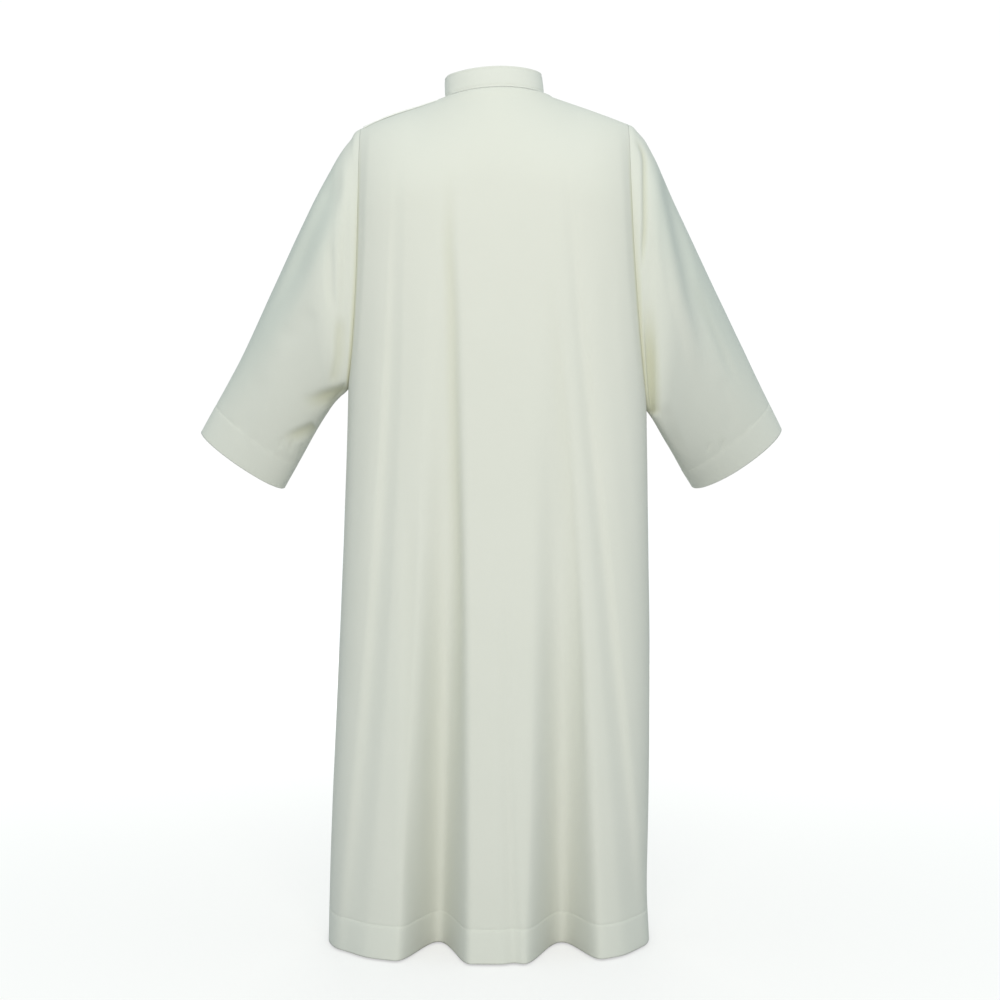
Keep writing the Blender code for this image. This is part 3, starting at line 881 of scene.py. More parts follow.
@dataclass
class ClothSheet:
    """A fine sheet of cloth made from rows and columns of points."""

    name: str
    node: str
    slot: str
    finish: ClothFinish
    thickness: float = 0.0012
    flip: bool = False
    closed: bool = False
    sewn_reach: float = 0.012
    top_reach: float = 0.034
    # the crease depth at which the painted shade in it is full
    painted_shade_depth: float = 0.006
    facing_span: float = 0.25
    broad_scale: tuple[float, float, float] = (8.0, 8.0, 2.0)
    fine_scale: tuple[float, float, float] = (30.0, 30.0, 13.0)
    fine_share: float = 0.22
    lift: float = 0.0002
    dip: float = 0.0007
    dip_width: float = 0.0017
    dip_shares: tuple[float, float] = (0.75, 0.5)
    pucker_scale: float = 70.0
    pucker_height: float = 0.0004
    pucker_width: float = 0.009
    step_span: tuple[float, float] = (-0.001, 0.002)

    def normals(self, grid: Array) -> Array:
        """Works out the outward direction at each point.

        Args:
            grid: points by row and column.

        Returns:
            Directions of length 1.
        """
        down = np.gradient(grid, axis=0)
        if self.closed:
            ring = grid[:, :-1]
            across = np.roll(ring, -1, axis=1) - np.roll(ring, 1, axis=1)
            across = np.concatenate([across, across[:, :1]], axis=1)
        else:
            across = np.gradient(grid, axis=1)
        return unit(np.cross(across, down)) * (1.0 if self.flip else -1.0)

    def from_top(self, grid: Array) -> Array:
        """Measures how far down its column each point lies."""
        steps = np.linalg.norm(np.diff(grid, axis=0), axis=2)
        return np.concatenate([np.zeros((1, grid.shape[1])), np.cumsum(steps, axis=0)])

    def from_side(self, grid: Array) -> Array:
        """Measures how far each point lies from the nearer end of its row."""
        across = np.stack([travel(row) for row in grid])
        return np.minimum(across, across[:, -1:] - across)

    def press(self, grid: Array, creases: tuple[Crease, ...], wrinkle: float) -> tuple[Array, Array]:
        """Presses creases and a slight unevenness into the cloth, but not along its sewn edges.

        Args:
            grid: points by row and column.
            creases: the creases on it.
            wrinkle: how deep the unevenness is.

        Returns:
            The pressed points, and how much painted warm shade each shows in its creases, from 0 to 1.
        """
        out = self.normals(grid)
        flat, facing = grid.reshape(-1, 3), out.reshape(-1, 3)[:, 1]
        # painted shade: each crease's tone times its depth darkens and warms the colour in its hollow
        creased, painted_crease_shade = np.zeros(len(flat)), np.zeros(len(flat))
        for crease in creases:
            seen = ease(crease.face.value * facing, 0.0, self.facing_span)
            depths = crease.depths(flat[:, 0], flat[:, 2]) * seen
            creased += depths
            painted_crease_shade += crease.tone * depths
        broad, fine = (ripple(flat, np.array(scale)) for scale in (self.broad_scale, self.fine_scale))
        uneven = wrinkle * (broad + self.fine_share * fine)
        fade = ease(self.from_top(grid), 0.0, self.sewn_reach if self.closed else self.top_reach)
        if not self.closed:
            fade = fade * ease(self.from_side(grid), 0.0, self.sewn_reach)
        depth = (creased + uneven).reshape(grid.shape[:2]) * fade
        tone = np.clip(painted_crease_shade / self.painted_shade_depth, 0.0, 1.0).reshape(grid.shape[:2])
        return grid - out * depth[:, :, None], tone

    def turn_up(self, grid: Array, turn: float) -> tuple[Array, Array]:
        """Raises the doubled band at the end of the cloth a little and draws in its line of stitches.

        Args:
            grid: points by row and column.
            turn: how deep the turned-up band is.

        Returns:
            The new points, and 1 where the cloth is doubled.
        """
        down = self.from_top(grid)
        up = down[-1:] - down
        doubled = 1.0 - ease(up, turn + self.step_span[0], turn + self.step_span[1])
        pucker = ripple(grid.reshape(-1, 3), self.pucker_scale).reshape(up.shape)
        even, uneven = self.dip_shares
        pull = self.dip * np.exp(-((up - turn) / self.dip_width) ** 2) * (even + uneven * pucker)
        spread = self.pucker_height * pucker * np.exp(-((up - turn) / self.pucker_width) ** 2)
        return grid + self.normals(grid) * (self.lift * doubled - pull + spread)[:, :, None], doubled

    def line_at(self, grid: Array, up: float) -> tuple[Array, Array]:
        """Finds the line across the cloth at a height above its end.

        Args:
            grid: points by row and column.
            up: the height, measured along the cloth.

        Returns:
            The line's points and outward directions.
        """
        down = self.from_top(grid)
        goals = down[-1] - up
        out = self.normals(grid)
        columns = range(grid.shape[1])
        points, facing = (np.array([at_length(part[:, c], down[:, c], goals[c]) for c in columns])
                          for part in (grid, out))
        return points, unit(facing)

    def weave_map(self, grid: Array) -> Array:
        """Measures the cloth's own grain in metres.

        Args:
            grid: points by row and column.

        Returns:
            Two lengths for each point, across and along.
        """
        middle = grid.shape[1] // 2
        across = np.stack([travel(row) for row in grid])
        across = across - across[:, middle:middle + 1]
        down = travel(grid[:, middle])
        return np.stack([across, np.tile(-down[:, None], (1, grid.shape[1]))], axis=2)

    def make(self, grid: Array, **marks: Array) -> bpy.types.Object:
        """Makes the sheet's object from a grid whose vertices are moved to their places.

        Args:
            grid: points by row and column, the first column repeated last on a tube.
            marks: how much painted shade each point takes in a fold or where it turns away, and how far it
                is doubled, from 0 to 1. Those left out are 0.

        Returns:
            The new object, in the scene, without its wall.
        """
        rows, columns = grid.shape[:2]
        lengths = self.weave_map(grid)
        sheet = bmesh.new()
        bmesh.ops.create_grid(sheet, x_segments=columns - 1, y_segments=rows - 1, size=1.0)
        layer = sheet.loops.layers.uv.new("grain")
        plain = np.zeros((rows, columns))
        marks = {name: marks.get(name, plain) for name in ("fold", "doubled", "turned")}
        for name in marks:
            sheet.verts.layers.float.new(name)
        cells = {}
        for vertex in sheet.verts:
            column = round((vertex.co.x + 1.0) * 0.5 * (columns - 1))
            row = round((1.0 - vertex.co.y) * 0.5 * (rows - 1))
            cells[vertex] = (row, column)
        for face in sheet.faces:
            for loop in face.loops:
                loop[layer].uv = lengths[cells[loop.vert]]
        for vertex, cell in cells.items():
            vertex.co = grid[cell]
            for name, mark in marks.items():
                vertex[sheet.verts.layers.float[name]] = mark[cell]
        if self.closed:
            ends = [vertex for vertex, cell in cells.items() if cell[1] in (0, columns - 1)]
            bmesh.ops.remove_doubles(sheet, verts=ends, dist=1e-6)
        if self.flip:
            bmesh.ops.reverse_faces(sheet, faces=sheet.faces[:])
        return mesh_object(self.name, sheet)

    def dress(self, piece: bpy.types.Object, flat: tuple[float, float], area: float,
              rests_on: tuple[str, ...], with_pieces: tuple[bpy.types.Object, ...] = ()) -> None:
        """Args:
            piece: the sheet.
            flat: the cut's greatest width and length; not used.
            area: the cut's area; not used.
            rests_on: what holds it; not used.
            with_pieces: the sewing on it; not used.
        """
        wall = piece.modifiers.new("wall", "SOLIDIFY")
        wall.thickness = self.thickness
        wall.offset = -1.0
        marks = piece.data.attributes["doubled"].data
        turned = [i for i, mark in enumerate(marks) if mark.value > 0.5]
        if turned:
            band = piece.vertex_groups.new(name="turned_up")
            band.add(turned, 1.0, "REPLACE")
            wall.thickness = 2.0 * self.thickness
            wall.vertex_group = band.name
            wall.thickness_vertex_group = 0.5
        piece.data.materials.append(self.finish.material())
        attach(piece, ROOT)
        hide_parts(self.node)


@dataclass
class Sewing:
    """Rows of small stitches that lie on the cloth."""

    name: str
    finish: ThreadFinish
    slot: str = "robe_cloth"
    pitch: float = 0.0032
    length: float = 0.0022
    width: float = 0.00045
    sunk: float = 0.35

    def build(self, lines: list[tuple[Array, Array]]) -> bpy.types.Object:
        """Lays stitches along lines.

        Args:
            lines: each line's points and outward directions.

        Returns:
            The stitches, as one object.
        """
        stitches = bmesh.new()
        for points, out in lines:
            lengths = travel(points)
            count = max(int(lengths[-1] / self.pitch), 2)
            places = (np.arange(count) + 0.5) / count * lengths[-1]
            for place in places:
                ends = [at_length(points, lengths, place + step) for step in (-self.pitch, self.pitch)]
                facing = unit(at_length(out, lengths, place))
                ahead = unit(ends[1] - ends[0])
                middle = at_length(points, lengths, place) + facing * self.width * (0.5 - self.sunk)
                self.add_stitch(stitches, middle, ahead, facing)
        piece = mesh_object(self.name, stitches)
        piece.data.materials.append(self.finish.material())
        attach(piece, ROOT)
        return piece

    def add_stitch(self, stitches: bmesh.types.BMesh, middle: Array, ahead: Array, facing: Array) -> None:
        """Adds one stitch.

        Args:
            stitches: the mesh it goes into.
            middle: its middle.
            ahead: the way it runs.
            facing: the way the cloth faces.
        """
        side = np.cross(facing, ahead)
        axes = [ahead * self.length, side * self.width, facing * self.width]
        turn = Matrix(np.stack(axes, axis=1).tolist())
        made = bmesh.ops.create_icosphere(stitches, subdivisions=1, radius=0.5)
        bmesh.ops.transform(stitches, matrix=turn.to_4x4(), verts=made["verts"])
        bmesh.ops.translate(stitches, verts=made["verts"], vec=Vector(middle))


@dataclass
class Panel:
    """The back or the front of the robe, in one piece from the neck to the turned-up hem."""

    form: BodyForm
    face: Face
    finish: ClothFinish
    creases: tuple[Crease, ...]
    thread: ThreadFinish
    wrinkle: float = 0.0012
    stitch_height: float = 0.0525
    trim: int = 2
    # the painted shade along the armholes: its reach, strength and heights
    seam_reach: float = 0.009
    seam_share: float = 0.9
    seam_foot: float = 0.05
    seam_fade: tuple[float, float] = (-0.2, -0.06)
    cut: tuple[float, float, float] = (1.02, 1.43, 0.97)

    def build(self) -> bpy.types.Object:
        """Makes the panel and the stitches of its hem.

        Returns:
            The panel.
        """
        name = self.face.name.lower()
        front = self.face is Face.FRONT
        self.sheet = ClothSheet(f"{name}_cloth", f"{name}_panel", "robe_cloth", self.finish, flip=front)
        grid = self.form.panel_grid(self.face)
        grid, tone = self.sheet.press(grid, self.creases, self.wrinkle)
        # painted shade in the creases and along the armholes, kept as the fold mark
        tone = np.maximum(tone, self.painted_seam_shade(grid))
        grid, doubled = self.sheet.turn_up(grid, self.form.hem_turn)
        self.piece = self.sheet.make(grid, fold=tone, doubled=doubled)
        line, out = self.sheet.line_at(grid, self.stitch_height)
        inner = slice(self.trim, -self.trim)
        self.stitches = Sewing(f"{name}_hem_stitches", self.thread).build([(line[inner], out[inner])])
        return self.piece

    def painted_seam_shade(self, grid: Array) -> Array:
        """Works out the painted shade along the armholes, where the cloth folds in.

        Args:
            grid: points by row and column.

        Returns:
            The tone at each point, 0 away from them.
        """
        under = 0.5 * sum(self.form.underarms)
        heights = grid[:, :, 2]
        armhole = ease(heights, under, under + self.seam_foot) * (1.0 - ease(heights, *self.seam_fade))
        return self.seam_share * (1.0 - ease(self.sheet.from_side(grid), 0.0, self.seam_reach)) * armhole

    def dress(self) -> None:
        """Gives the panel its wall and finish."""
        width, length, area = self.cut
        rests_on = ("collar", "sleeve_left", "sleeve_right")
        self.sheet.dress(self.piece, (width, length), area, rests_on, (self.stitches,))


@dataclass
class Sleeve:
    """One long sleeve, a tube with a seam under the arm and a turned-up end."""

    form: BodyForm
    side: Side
    finish: ClothFinish
    creases: tuple[Crease, ...]
    thread: ThreadFinish
    stations: tuple[Station, ...]
    fullness: float = 0.85
    swell: float = 0.05
    root_blend: float = 0.34
    carry: tuple[float, float] = (0.04, 0.18)
    turn: float = 0.056
    fineness: int = 5
    first_place: float = 0.004
    body_rows: int = 90
    row_gather: float = 1.25
    wrinkle: float = 0.0012
    stitch_height: float = 0.0545
    # painted shade on the sleeve beside its armhole seam
    root_heights: tuple[float, float] = (-0.5, -0.1)
    root_shade: float = 0.016
    # painted cool shade over the whole sleeve, strongest on its upper side
    turned_span: tuple[float, float] = (0.16, 0.48)
    turned_fall: tuple[float, float] = (0.36, 0.58)
    turned_start: tuple[float, float] = (0.02, 0.10)
    turned_shade: float = 0.22
    cut: tuple[float, float, float] = (0.52, 0.56, 0.23)

    def __post_init__(self) -> None:
        """Makes the curves through the stations."""
        keys = [station.along for station in self.stations]
        names = ("top_x", "top_z", "under_x", "under_z", "middle_y", "back", "front", "lead")
        self.curves = {n: Curve(keys, [getattr(s, n) for s in self.stations]) for n in names}

    def read(self, name: str, along: float) -> float:
        """Reads one size of the sleeve's sections."""
        return float(self.curves[name].at(along))

    def ring_at(self, along: float, ring: Array, cosine: Array, sine: Array) -> Array:
        """Works out one section of the sleeve.

        Args:
            along: from 0 at the armhole to 1 at the sleeve's end.
            ring: the armhole.
            cosine: how far up each point lies.
            sine: how far forward each point lies.

        Returns:
            The section's points.
        """
        sign = self.side.value
        root_top, root_under = ring[0], ring[len(ring) // 2]
        first = self.stations[0].along
        share = min(along / first, 1.0)
        top = np.array([sign * self.read("top_x", along), 0.0, self.read("top_z", along)])
        under = np.array([sign * self.read("under_x", along), 0.0, self.read("under_z", along)])
        top, under = mix(root_top, top, share), mix(root_under, under, share)
        run = unit(np.cross(under - top, [0.0, sign, 0.0]))
        down = (0.5 - 0.5 * cosine)[:, None]
        spare = ring - mix(root_top, root_under, down)
        depth = np.where(sine < 0.0, self.read("back", along), self.read("front", along))
        oval = np.zeros_like(ring)
        oval[:, 1] = np.sign(sine) * depth * np.abs(sine) ** self.fullness
        points = mix(top, under, down) + mix(spare, oval, ease(along, 0.0, self.root_blend))
        points[:, 1] += self.read("middle_y", along) * share
        points[:, 1] += (depth - self.stations[-1].back) * sine * self.swell * share
        points = points - run * (sine * self.read("lead", along) * share)[:, None]
        tip = ring[0][0] - sign * np.array([self.first_place, 0.0])
        heights = self.form.shoulder_height(tip)
        fall = unit(np.array([sign * self.first_place, 0.0, heights[1] - heights[0]]))
        carried = ring + fall * np.linalg.norm(points - ring, axis=1)[:, None]
        over = (1.0 - ease(down, *self.carry)) * (1.0 - ease(along, self.first_place, first))
        return mix(points, carried, over)

    def places(self) -> list[float]:
        """Works out the fine places along the sleeve, closer at the turned-up end.

        Returns:
            The places, from 0 to 1.
        """
        last, before = self.stations[-1], self.stations[-2]
        step = math.hypot(last.top_x - before.top_x, last.top_z - before.top_z)
        start = 1.0 - self.turn * (last.along - before.along) / step
        body = [start * (i / self.body_rows) ** self.row_gather for i in range(2, self.body_rows)]
        end = [mix(start, 1.0, share) for share in HEM_SHARES]
        first = [0.0, 0.5 * self.first_place, self.first_place]
        return first + [place for place in body if place > self.first_place] + end

    def build(self) -> bpy.types.Object:
        """Makes the sleeve and the stitches round its end.

        Returns:
            The sleeve.
        """
        name = self.side.name.lower()
        right = self.side is Side.RIGHT
        self.sheet = ClothSheet(f"{name}_sleeve_cloth", f"sleeve_{name}", "robe_cloth", self.finish,
                                flip=right, closed=True)
        ring, cosine, sine = self.form.armhole(self.side, self.fineness)
        lines = [self.ring_at(place, ring, cosine, sine) if place > 0.0 else ring for place in self.places()]
        grid = np.stack([np.concatenate([line, line[:1]]) for line in lines])
        grid, tone = self.sheet.press(grid, self.creases, self.wrinkle)
        # painted shade on the sleeve beside its armhole seam, stronger low down
        low = 1.0 - ease(grid[:, :, 2], *self.root_heights)
        tone = np.maximum(tone, (1.0 - ease(self.sheet.from_top(grid), 0.0, self.root_shade)) * low)
        grid, doubled = self.sheet.turn_up(grid, self.turn)
        self.piece = self.sheet.make(grid, fold=tone, doubled=doubled, turned=self.painted_turned_shade(grid, cosine))
        line = self.sheet.line_at(grid, self.stitch_height)
        self.stitches = Sewing(f"{name}_cuff_stitches", self.thread).build([line])
        return self.piece

    def painted_turned_shade(self, grid: Array, cosine: Array) -> Array:
        """Works out the painted cool shade over the sleeve, strongest where its upper side turns away.

        Args:
            grid: points by row and column.
            cosine: how far up each column lies.

        Returns:
            The tone at each point.
        """
        low = (0.5 - 0.5 * np.concatenate([cosine, cosine[:1]]))[None, :]
        tone = (1.0 - ease(low, *self.turned_span)) * (1.0 - ease(-grid[:, :, 2], *self.turned_fall))
        tone = tone * ease(self.sheet.from_top(grid), *self.turned_start)
        return self.turned_shade + (1.0 - self.turned_shade) * tone

    def dress(self) -> None:
        """Gives the sleeve its wall and finish."""
        width, length, area = self.cut
        rests_on = ("back_panel", "front_panel")
        self.sheet.dress(self.piece, (width, length), area, rests_on, (self.stitches,))


@dataclass
class Collar:
    """The stand-up band, in two pressed layers, its end lapped at the left shoulder."""

    form: BodyForm
    finish: ClothFinish
    thread: ThreadFinish
    height: float = 0.035
    lean: float = 0.045
    lean_right: float = 0.075
    left_dip: float = 0.0022
    pillow: float = 0.0007
    stitch_inset: float = 0.0035
    groove_width: float = 0.035
    wall: float = 0.0018
    lap_gap: float = 0.0005
    lap_steps: int = 2
    rows: int = 20
    stitch_trim: int = 2
    edge_width: float = 0.0006
    cut: tuple[float, float, float] = (0.49, 0.036, 0.0172)

    def shift(self, step: Array, steps: int) -> Array:
        """Works out how far the lapped ends stand out of or into the line of the band.

        Args:
            step: the points' numbers round the neck.
            steps: the last point's number.

        Returns:
            The shift at each point.
        """
        near = self.lap_steps * self.form.fineness
        far = near + 2 * self.form.fineness
        shift = 0.5 * (self.wall + self.lap_gap)
        return shift * (1.0 - ease(step, near, far)) - shift * ease(step, steps - far, steps - near)

    def build(self) -> bpy.types.Object:
        """Makes the band and the stitches along its edges.

        Returns:
            The band.
        """
        around = np.concatenate([self.form.neck_points(Face.BACK)[:-1],
                                 self.form.neck_points(Face.FRONT)[:0:-1]])
        around = np.concatenate([around, around[:self.lap_steps * self.form.fineness + 1]])
        steps = np.arange(len(around))
        angle = math.pi * (1.0 + steps / (self.form.neck_steps * self.form.fineness))
        out = np.stack([np.cos(angle), np.sin(angle), np.zeros(len(angle))], axis=1)
        foot = around + out * self.shift(steps, len(around) - 1)[:, None]
        lean = (self.lean + self.lean_right * np.cos(angle))[:, None]
        height = self.height - self.left_dip * (1.0 - ease(steps, 0, 2 * self.form.fineness))
        self.sheet = ClothSheet("collar_band", "collar", "collar_cloth", self.finish, self.wall)
        lines = []
        for row in range(self.rows, -1, -1):
            share = row / self.rows
            rise = (height * share)[:, None]
            puff = self.pillow * (math.sin(math.pi * share) ** 0.5 - self.groove(share))
            up = np.array([0.0, 0.0, 1.0]) * (self.form.collar_gap + rise)
            lines.append(foot - out * (lean * rise - puff) + up)
        grid = np.stack(lines)
        self.piece = self.sheet.make(grid)
        rows = [self.sheet.line_at(grid, up) for up in (self.stitch_inset, self.height - self.stitch_inset)]
        sewing = Sewing("collar_stitches", self.thread, "collar_cloth", pitch=0.0026, length=0.0019)
        inner = slice(self.stitch_trim, -self.stitch_trim)
        self.stitches = sewing.build([(line[inner], facing[inner]) for line, facing in rows])
        return self.piece

    def groove(self, share: float) -> float:
        """Gives how deep the two rows of edge stitching pull in at a share of the height."""
        inset = self.stitch_inset / self.height
        return sum(math.exp(-((share - place) / self.groove_width) ** 2) for place in (inset, 1.0 - inset))

    def dress(self) -> None:
        """Gives the band its wall, rounded edges and finish."""
        width, length, area = self.cut
        self.sheet.dress(self.piece, (width, length), area, ("back_panel", "front_panel"), (self.stitches,))
        round_edges(self.piece, self.edge_width)


@dataclass
class Placket:
    """The narrow flap over the closing along the left shoulder."""

    form: BodyForm
    finish: ClothFinish
    thread: ThreadFinish
    back: float = -0.016
    front: float = 0.011
    inner: float = 0.0890
    outer: float = 0.2215
    wall: float = 0.0014
    gap: float = 0.0004
    gape: float = 0.0007
    gape_ends: tuple[float, float] = (-0.206, -0.131)
    gape_power: float = 1.3
    edge_roll: float = 0.0016
    roll_shares: tuple[float, ...] = (0.75, 0.5, 0.3, 0.15, 0.05, 0.0)
    edge_sink: float = 0.0009
    columns: int = 61
    flat_rows: int = 14
    near_rows: int = 20
    near_step: float = 0.004
    slope_step: float = 0.001
    stitch_rows: tuple[float, float] = (0.0045, 0.0235)
    cut: tuple[float, float, float] = (0.141, 0.028, 0.0037)

    def over_shoulder(self, grids: dict[Face, Array], x: float, distance: float) -> Array:
        """Finds a point lifted off the cloth at a distance from the shoulder seam.

        Args:
            grids: the points of the back and the front.
            x: how far out along the shoulder.
            distance: from the seam, below 0 on the back.

        Returns:
            The point.
        """
        point, up = self.surface_line(grids, x, distance)
        share = np.clip((x - self.gape_ends[0]) / (self.gape_ends[1] - self.gape_ends[0]), 0.0, 1.0)
        lift = self.wall + self.gap + self.gape * math.sin(math.pi * share) ** self.gape_power
        rolled = min(max(min(distance - self.back, self.front - distance), 0.0) / self.edge_roll, 1.0)
        floor = self.wall - self.edge_sink
        return point + up * mix(floor, lift, math.sqrt(1.0 - (1.0 - rolled) ** 2))

    def surface_line(self, grids: dict[Face, Array], x: float, distance: float) -> tuple[Array, Array]:
        """Finds the cloth's own point and upward normal beside the shoulder seam.

        Args:
            grids: the points of the back and the front.
            x: how far out along the shoulder.
            distance: from the seam, below 0 on the back.

        Returns:
            The point and its normal.
        """
        grid = grids[Face.FRONT if distance > 0.0 else Face.BACK]
        columns = np.argsort(grid[0, :grid.shape[1] // 3, 0])
        strips = []
        for place in (x, x + self.near_step):
            strips.append(np.array([at_length(grid[row, columns], grid[0, columns, 0], place)
                                    for row in range(self.near_rows)]))
        strip, near = strips
        lengths, away = travel(strip), abs(distance)
        point = at_length(strip, lengths, away)
        ahead = at_length(strip, lengths, away + self.slope_step)
        ahead = ahead - at_length(strip, lengths, max(away - self.slope_step, 0.0))
        normal = unit(np.cross(ahead, at_length(near, travel(near), away) - point))
        return point, normal * np.sign(normal[2])

    def build(self) -> bpy.types.Object:
        """Makes the flap and the stitches along its edges.

        Returns:
            The flap.
        """
        grids = {face: self.form.panel_grid(face) for face in Face}
        places = np.linspace(-self.outer, -self.inner, self.columns)
        roll = self.edge_roll * np.array(self.roll_shares)
        flat = np.linspace(self.front - self.edge_roll, self.back + self.edge_roll, self.flat_rows)
        distances = np.concatenate([self.front - roll[::-1], flat, self.back + roll])
        grid = np.array([[self.over_shoulder(grids, x, d) for x in places] for d in distances])
        self.sheet = ClothSheet("shoulder_flap", "shoulder_placket", "robe_cloth", self.finish, self.wall)
        self.piece = self.sheet.make(grid)
        rows = [self.sheet.line_at(grid, up) for up in self.stitch_rows]
        self.stitches = Sewing("flap_stitches", self.thread, pitch=0.0028, length=0.002).build(rows)
        return self.piece

    def dress(self) -> None:
        """Gives the flap its wall and finish."""
        width, length, area = self.cut
        self.sheet.dress(self.piece, (width, length), area, ("back_panel", "front_panel"), (self.stitches,))


@dataclass
class Studio:
    """A plain pale floor, soft lights and the camera, which aren't part of the object."""

    floor_height: float = -1.4245
    floor_radius: float = 14.0
    floor_sides: int = 96
    floor_tone: float = 0.40
    near_glow: float = 0.58
    far_glow: float = 0.78
    glow_span: tuple[float, float] = (1.5, 3.3)
    camera_place: tuple[float, float, float] = (0.0, -3.0, -0.544)
    lens: float = 63.53
    sensor: float = 36.0
    shift: tuple[float, float] = (0.005, -0.083)
    light_size: float = 2.2
    backdrop: float = 1.02
    ambient: float = 0.70
    sky: Colour = (0.85, 0.955, 0.97)
    warm: Colour = (1.0, 0.95, 0.83)

    def build(self) -> None:
        """Makes the floor, the lights, the surroundings and the camera."""
        self.add_floor()
        self.add_light("key_light", (0.10, -3.2, 0.70), (0.0, 0.0, -0.38), 61.0)
        self.add_light("far_light", (0.0, 3.4, 0.30), (0.0, 0.0, -0.45), 46.0)
        self.add_surroundings()
        self.add_camera()
        bpy.context.scene.view_settings.view_transform = "Standard"

    def add_floor(self) -> None:
        """Makes the floor, a wide round sheet."""
        sheet = bmesh.new()
        bmesh.ops.create_circle(sheet, cap_ends=True, segments=self.floor_sides, radius=self.floor_radius)
        bmesh.ops.translate(sheet, verts=sheet.verts[:], vec=(0.0, 0.0, self.floor_height))
        floor = mesh_object("studio_floor", sheet)
        floor.data.materials.append(self.floor_finish())

    def floor_finish(self) -> bpy.types.Material:
        """Makes the floor's pale finish, which glows a little so that it meets the surroundings.

        Returns:
            The material.
        """
        made, graph, shader = new_material("pale_floor")
        away = graph.add("VectorMath:LENGTH", i0=graph.add("TexCoord").outputs["Object"])
        low, high = self.glow_span
        ramp = graph.add("MapRange", Value=away.outputs["Value"], From_Min=low, From_Max=high,
                         To_Min=self.near_glow, To_Max=self.far_glow)
        seen = graph.add("LightPath").outputs["Is Camera Ray"]
        graph.fill(shader, Base_Color=(*[self.floor_tone] * 3, 1.0), Roughness=1.0, Specular_IOR_Level=0.0,
                   Emission_Color=(1.0, 1.0, 1.0, 1.0),
                   Emission_Strength=graph.times(seen, ramp.outputs["Result"]))
        return made

    def add_light(self, name: str, place: tuple[float, float, float], target: tuple[float, float, float],
                  power: float) -> None:
        """Adds one soft light.

        Args:
            name: the light's name.
            place: where it stands.
            target: where it points.
            power: its strength in watts.
        """
        data = bpy.data.lights.new(name, "AREA")
        data.shape, data.size = "SQUARE", self.light_size
        data.energy, data.color = power, self.warm
        light = place_object(name, data)
        light.location = place
        light.visible_camera = False
        light.rotation_euler = (Vector(target) - Vector(place)).to_track_quat("-Z", "Y").to_euler()

    def add_surroundings(self) -> None:
        """Adds the white surroundings and the softer light that comes from them."""
        world = bpy.data.worlds.new("studio")
        bpy.context.scene.world = world
        world.use_nodes = True
        world.node_tree.nodes.clear()
        graph = Graph(world.node_tree)
        seen = graph.add("Background", Color=(1.0, 1.0, 1.0, 1.0), Strength=self.backdrop)
        lit = graph.add("Background", Color=(*self.sky, 1.0), Strength=self.ambient)
        path = graph.add("LightPath").outputs["Is Camera Ray"]
        both = graph.add("MixShader", Fac=path, i1=lit.outputs["Background"], i2=seen.outputs["Background"])
        graph.add("OutputWorld", Surface=both.outputs["Shader"])

    def add_camera(self) -> None:
        """Adds the camera at the photograph's viewing angle."""
        data = bpy.data.cameras.new("camera")
        data.sensor_width = self.sensor
        data.lens = self.lens
        data.shift_x, data.shift_y = self.shift
        camera = place_object("camera", data)
        camera.location = self.camera_place
        camera.rotation_euler = (math.radians(90.0), 0.0, 0.0)
        bpy.context.scene.camera = camera


LEFT_STATIONS = (
    Station(0.04, 0.2448, -0.0731, 0.2515, -0.4990, 0.000, 0.074, 0.072, 0.000),
    Station(0.09, 0.2584, -0.0901, 0.2565, -0.5040, 0.002, 0.071, 0.074, 0.000),
    Station(0.15, 0.2733, -0.1143, 0.2630, -0.5090, 0.005, 0.077, 0.077, 0.001),
    Station(0.32, 0.3149, -0.1898, 0.2780, -0.5245, 0.018, 0.074, 0.075, 0.003),
    Station(0.55, 0.3773, -0.3166, 0.3040, -0.5610, 0.040, 0.067, 0.068, 0.005),
    Station(0.78, 0.4404, -0.4452, 0.3330, -0.6090, 0.062, 0.059, 0.060, 0.007),
    Station(1.00, 0.5122, -0.5685, 0.3688, -0.6681, 0.088, 0.052, 0.054, 0.009),
)
RIGHT_STATIONS = (
    Station(0.04, 0.2414, -0.0595, 0.2600, -0.5365, 0.000, 0.073, 0.072, 0.000),
    Station(0.09, 0.2560, -0.0765, 0.2640, -0.5420, 0.003, 0.071, 0.074, 0.000),
    Station(0.15, 0.2763, -0.1142, 0.2700, -0.5505, 0.008, 0.076, 0.076, 0.001),
    Station(0.32, 0.3125, -0.1886, 0.2870, -0.5760, 0.030, 0.073, 0.073, 0.004),
    Station(0.55, 0.3758, -0.3144, 0.3100, -0.6080, 0.070, 0.066, 0.066, 0.009),
    Station(0.78, 0.4441, -0.4435, 0.3310, -0.6400, 0.110, 0.058, 0.058, 0.013),
    Station(1.00, 0.5087, -0.5619, 0.3516, -0.6690, 0.150, 0.052, 0.052, 0.017),
)


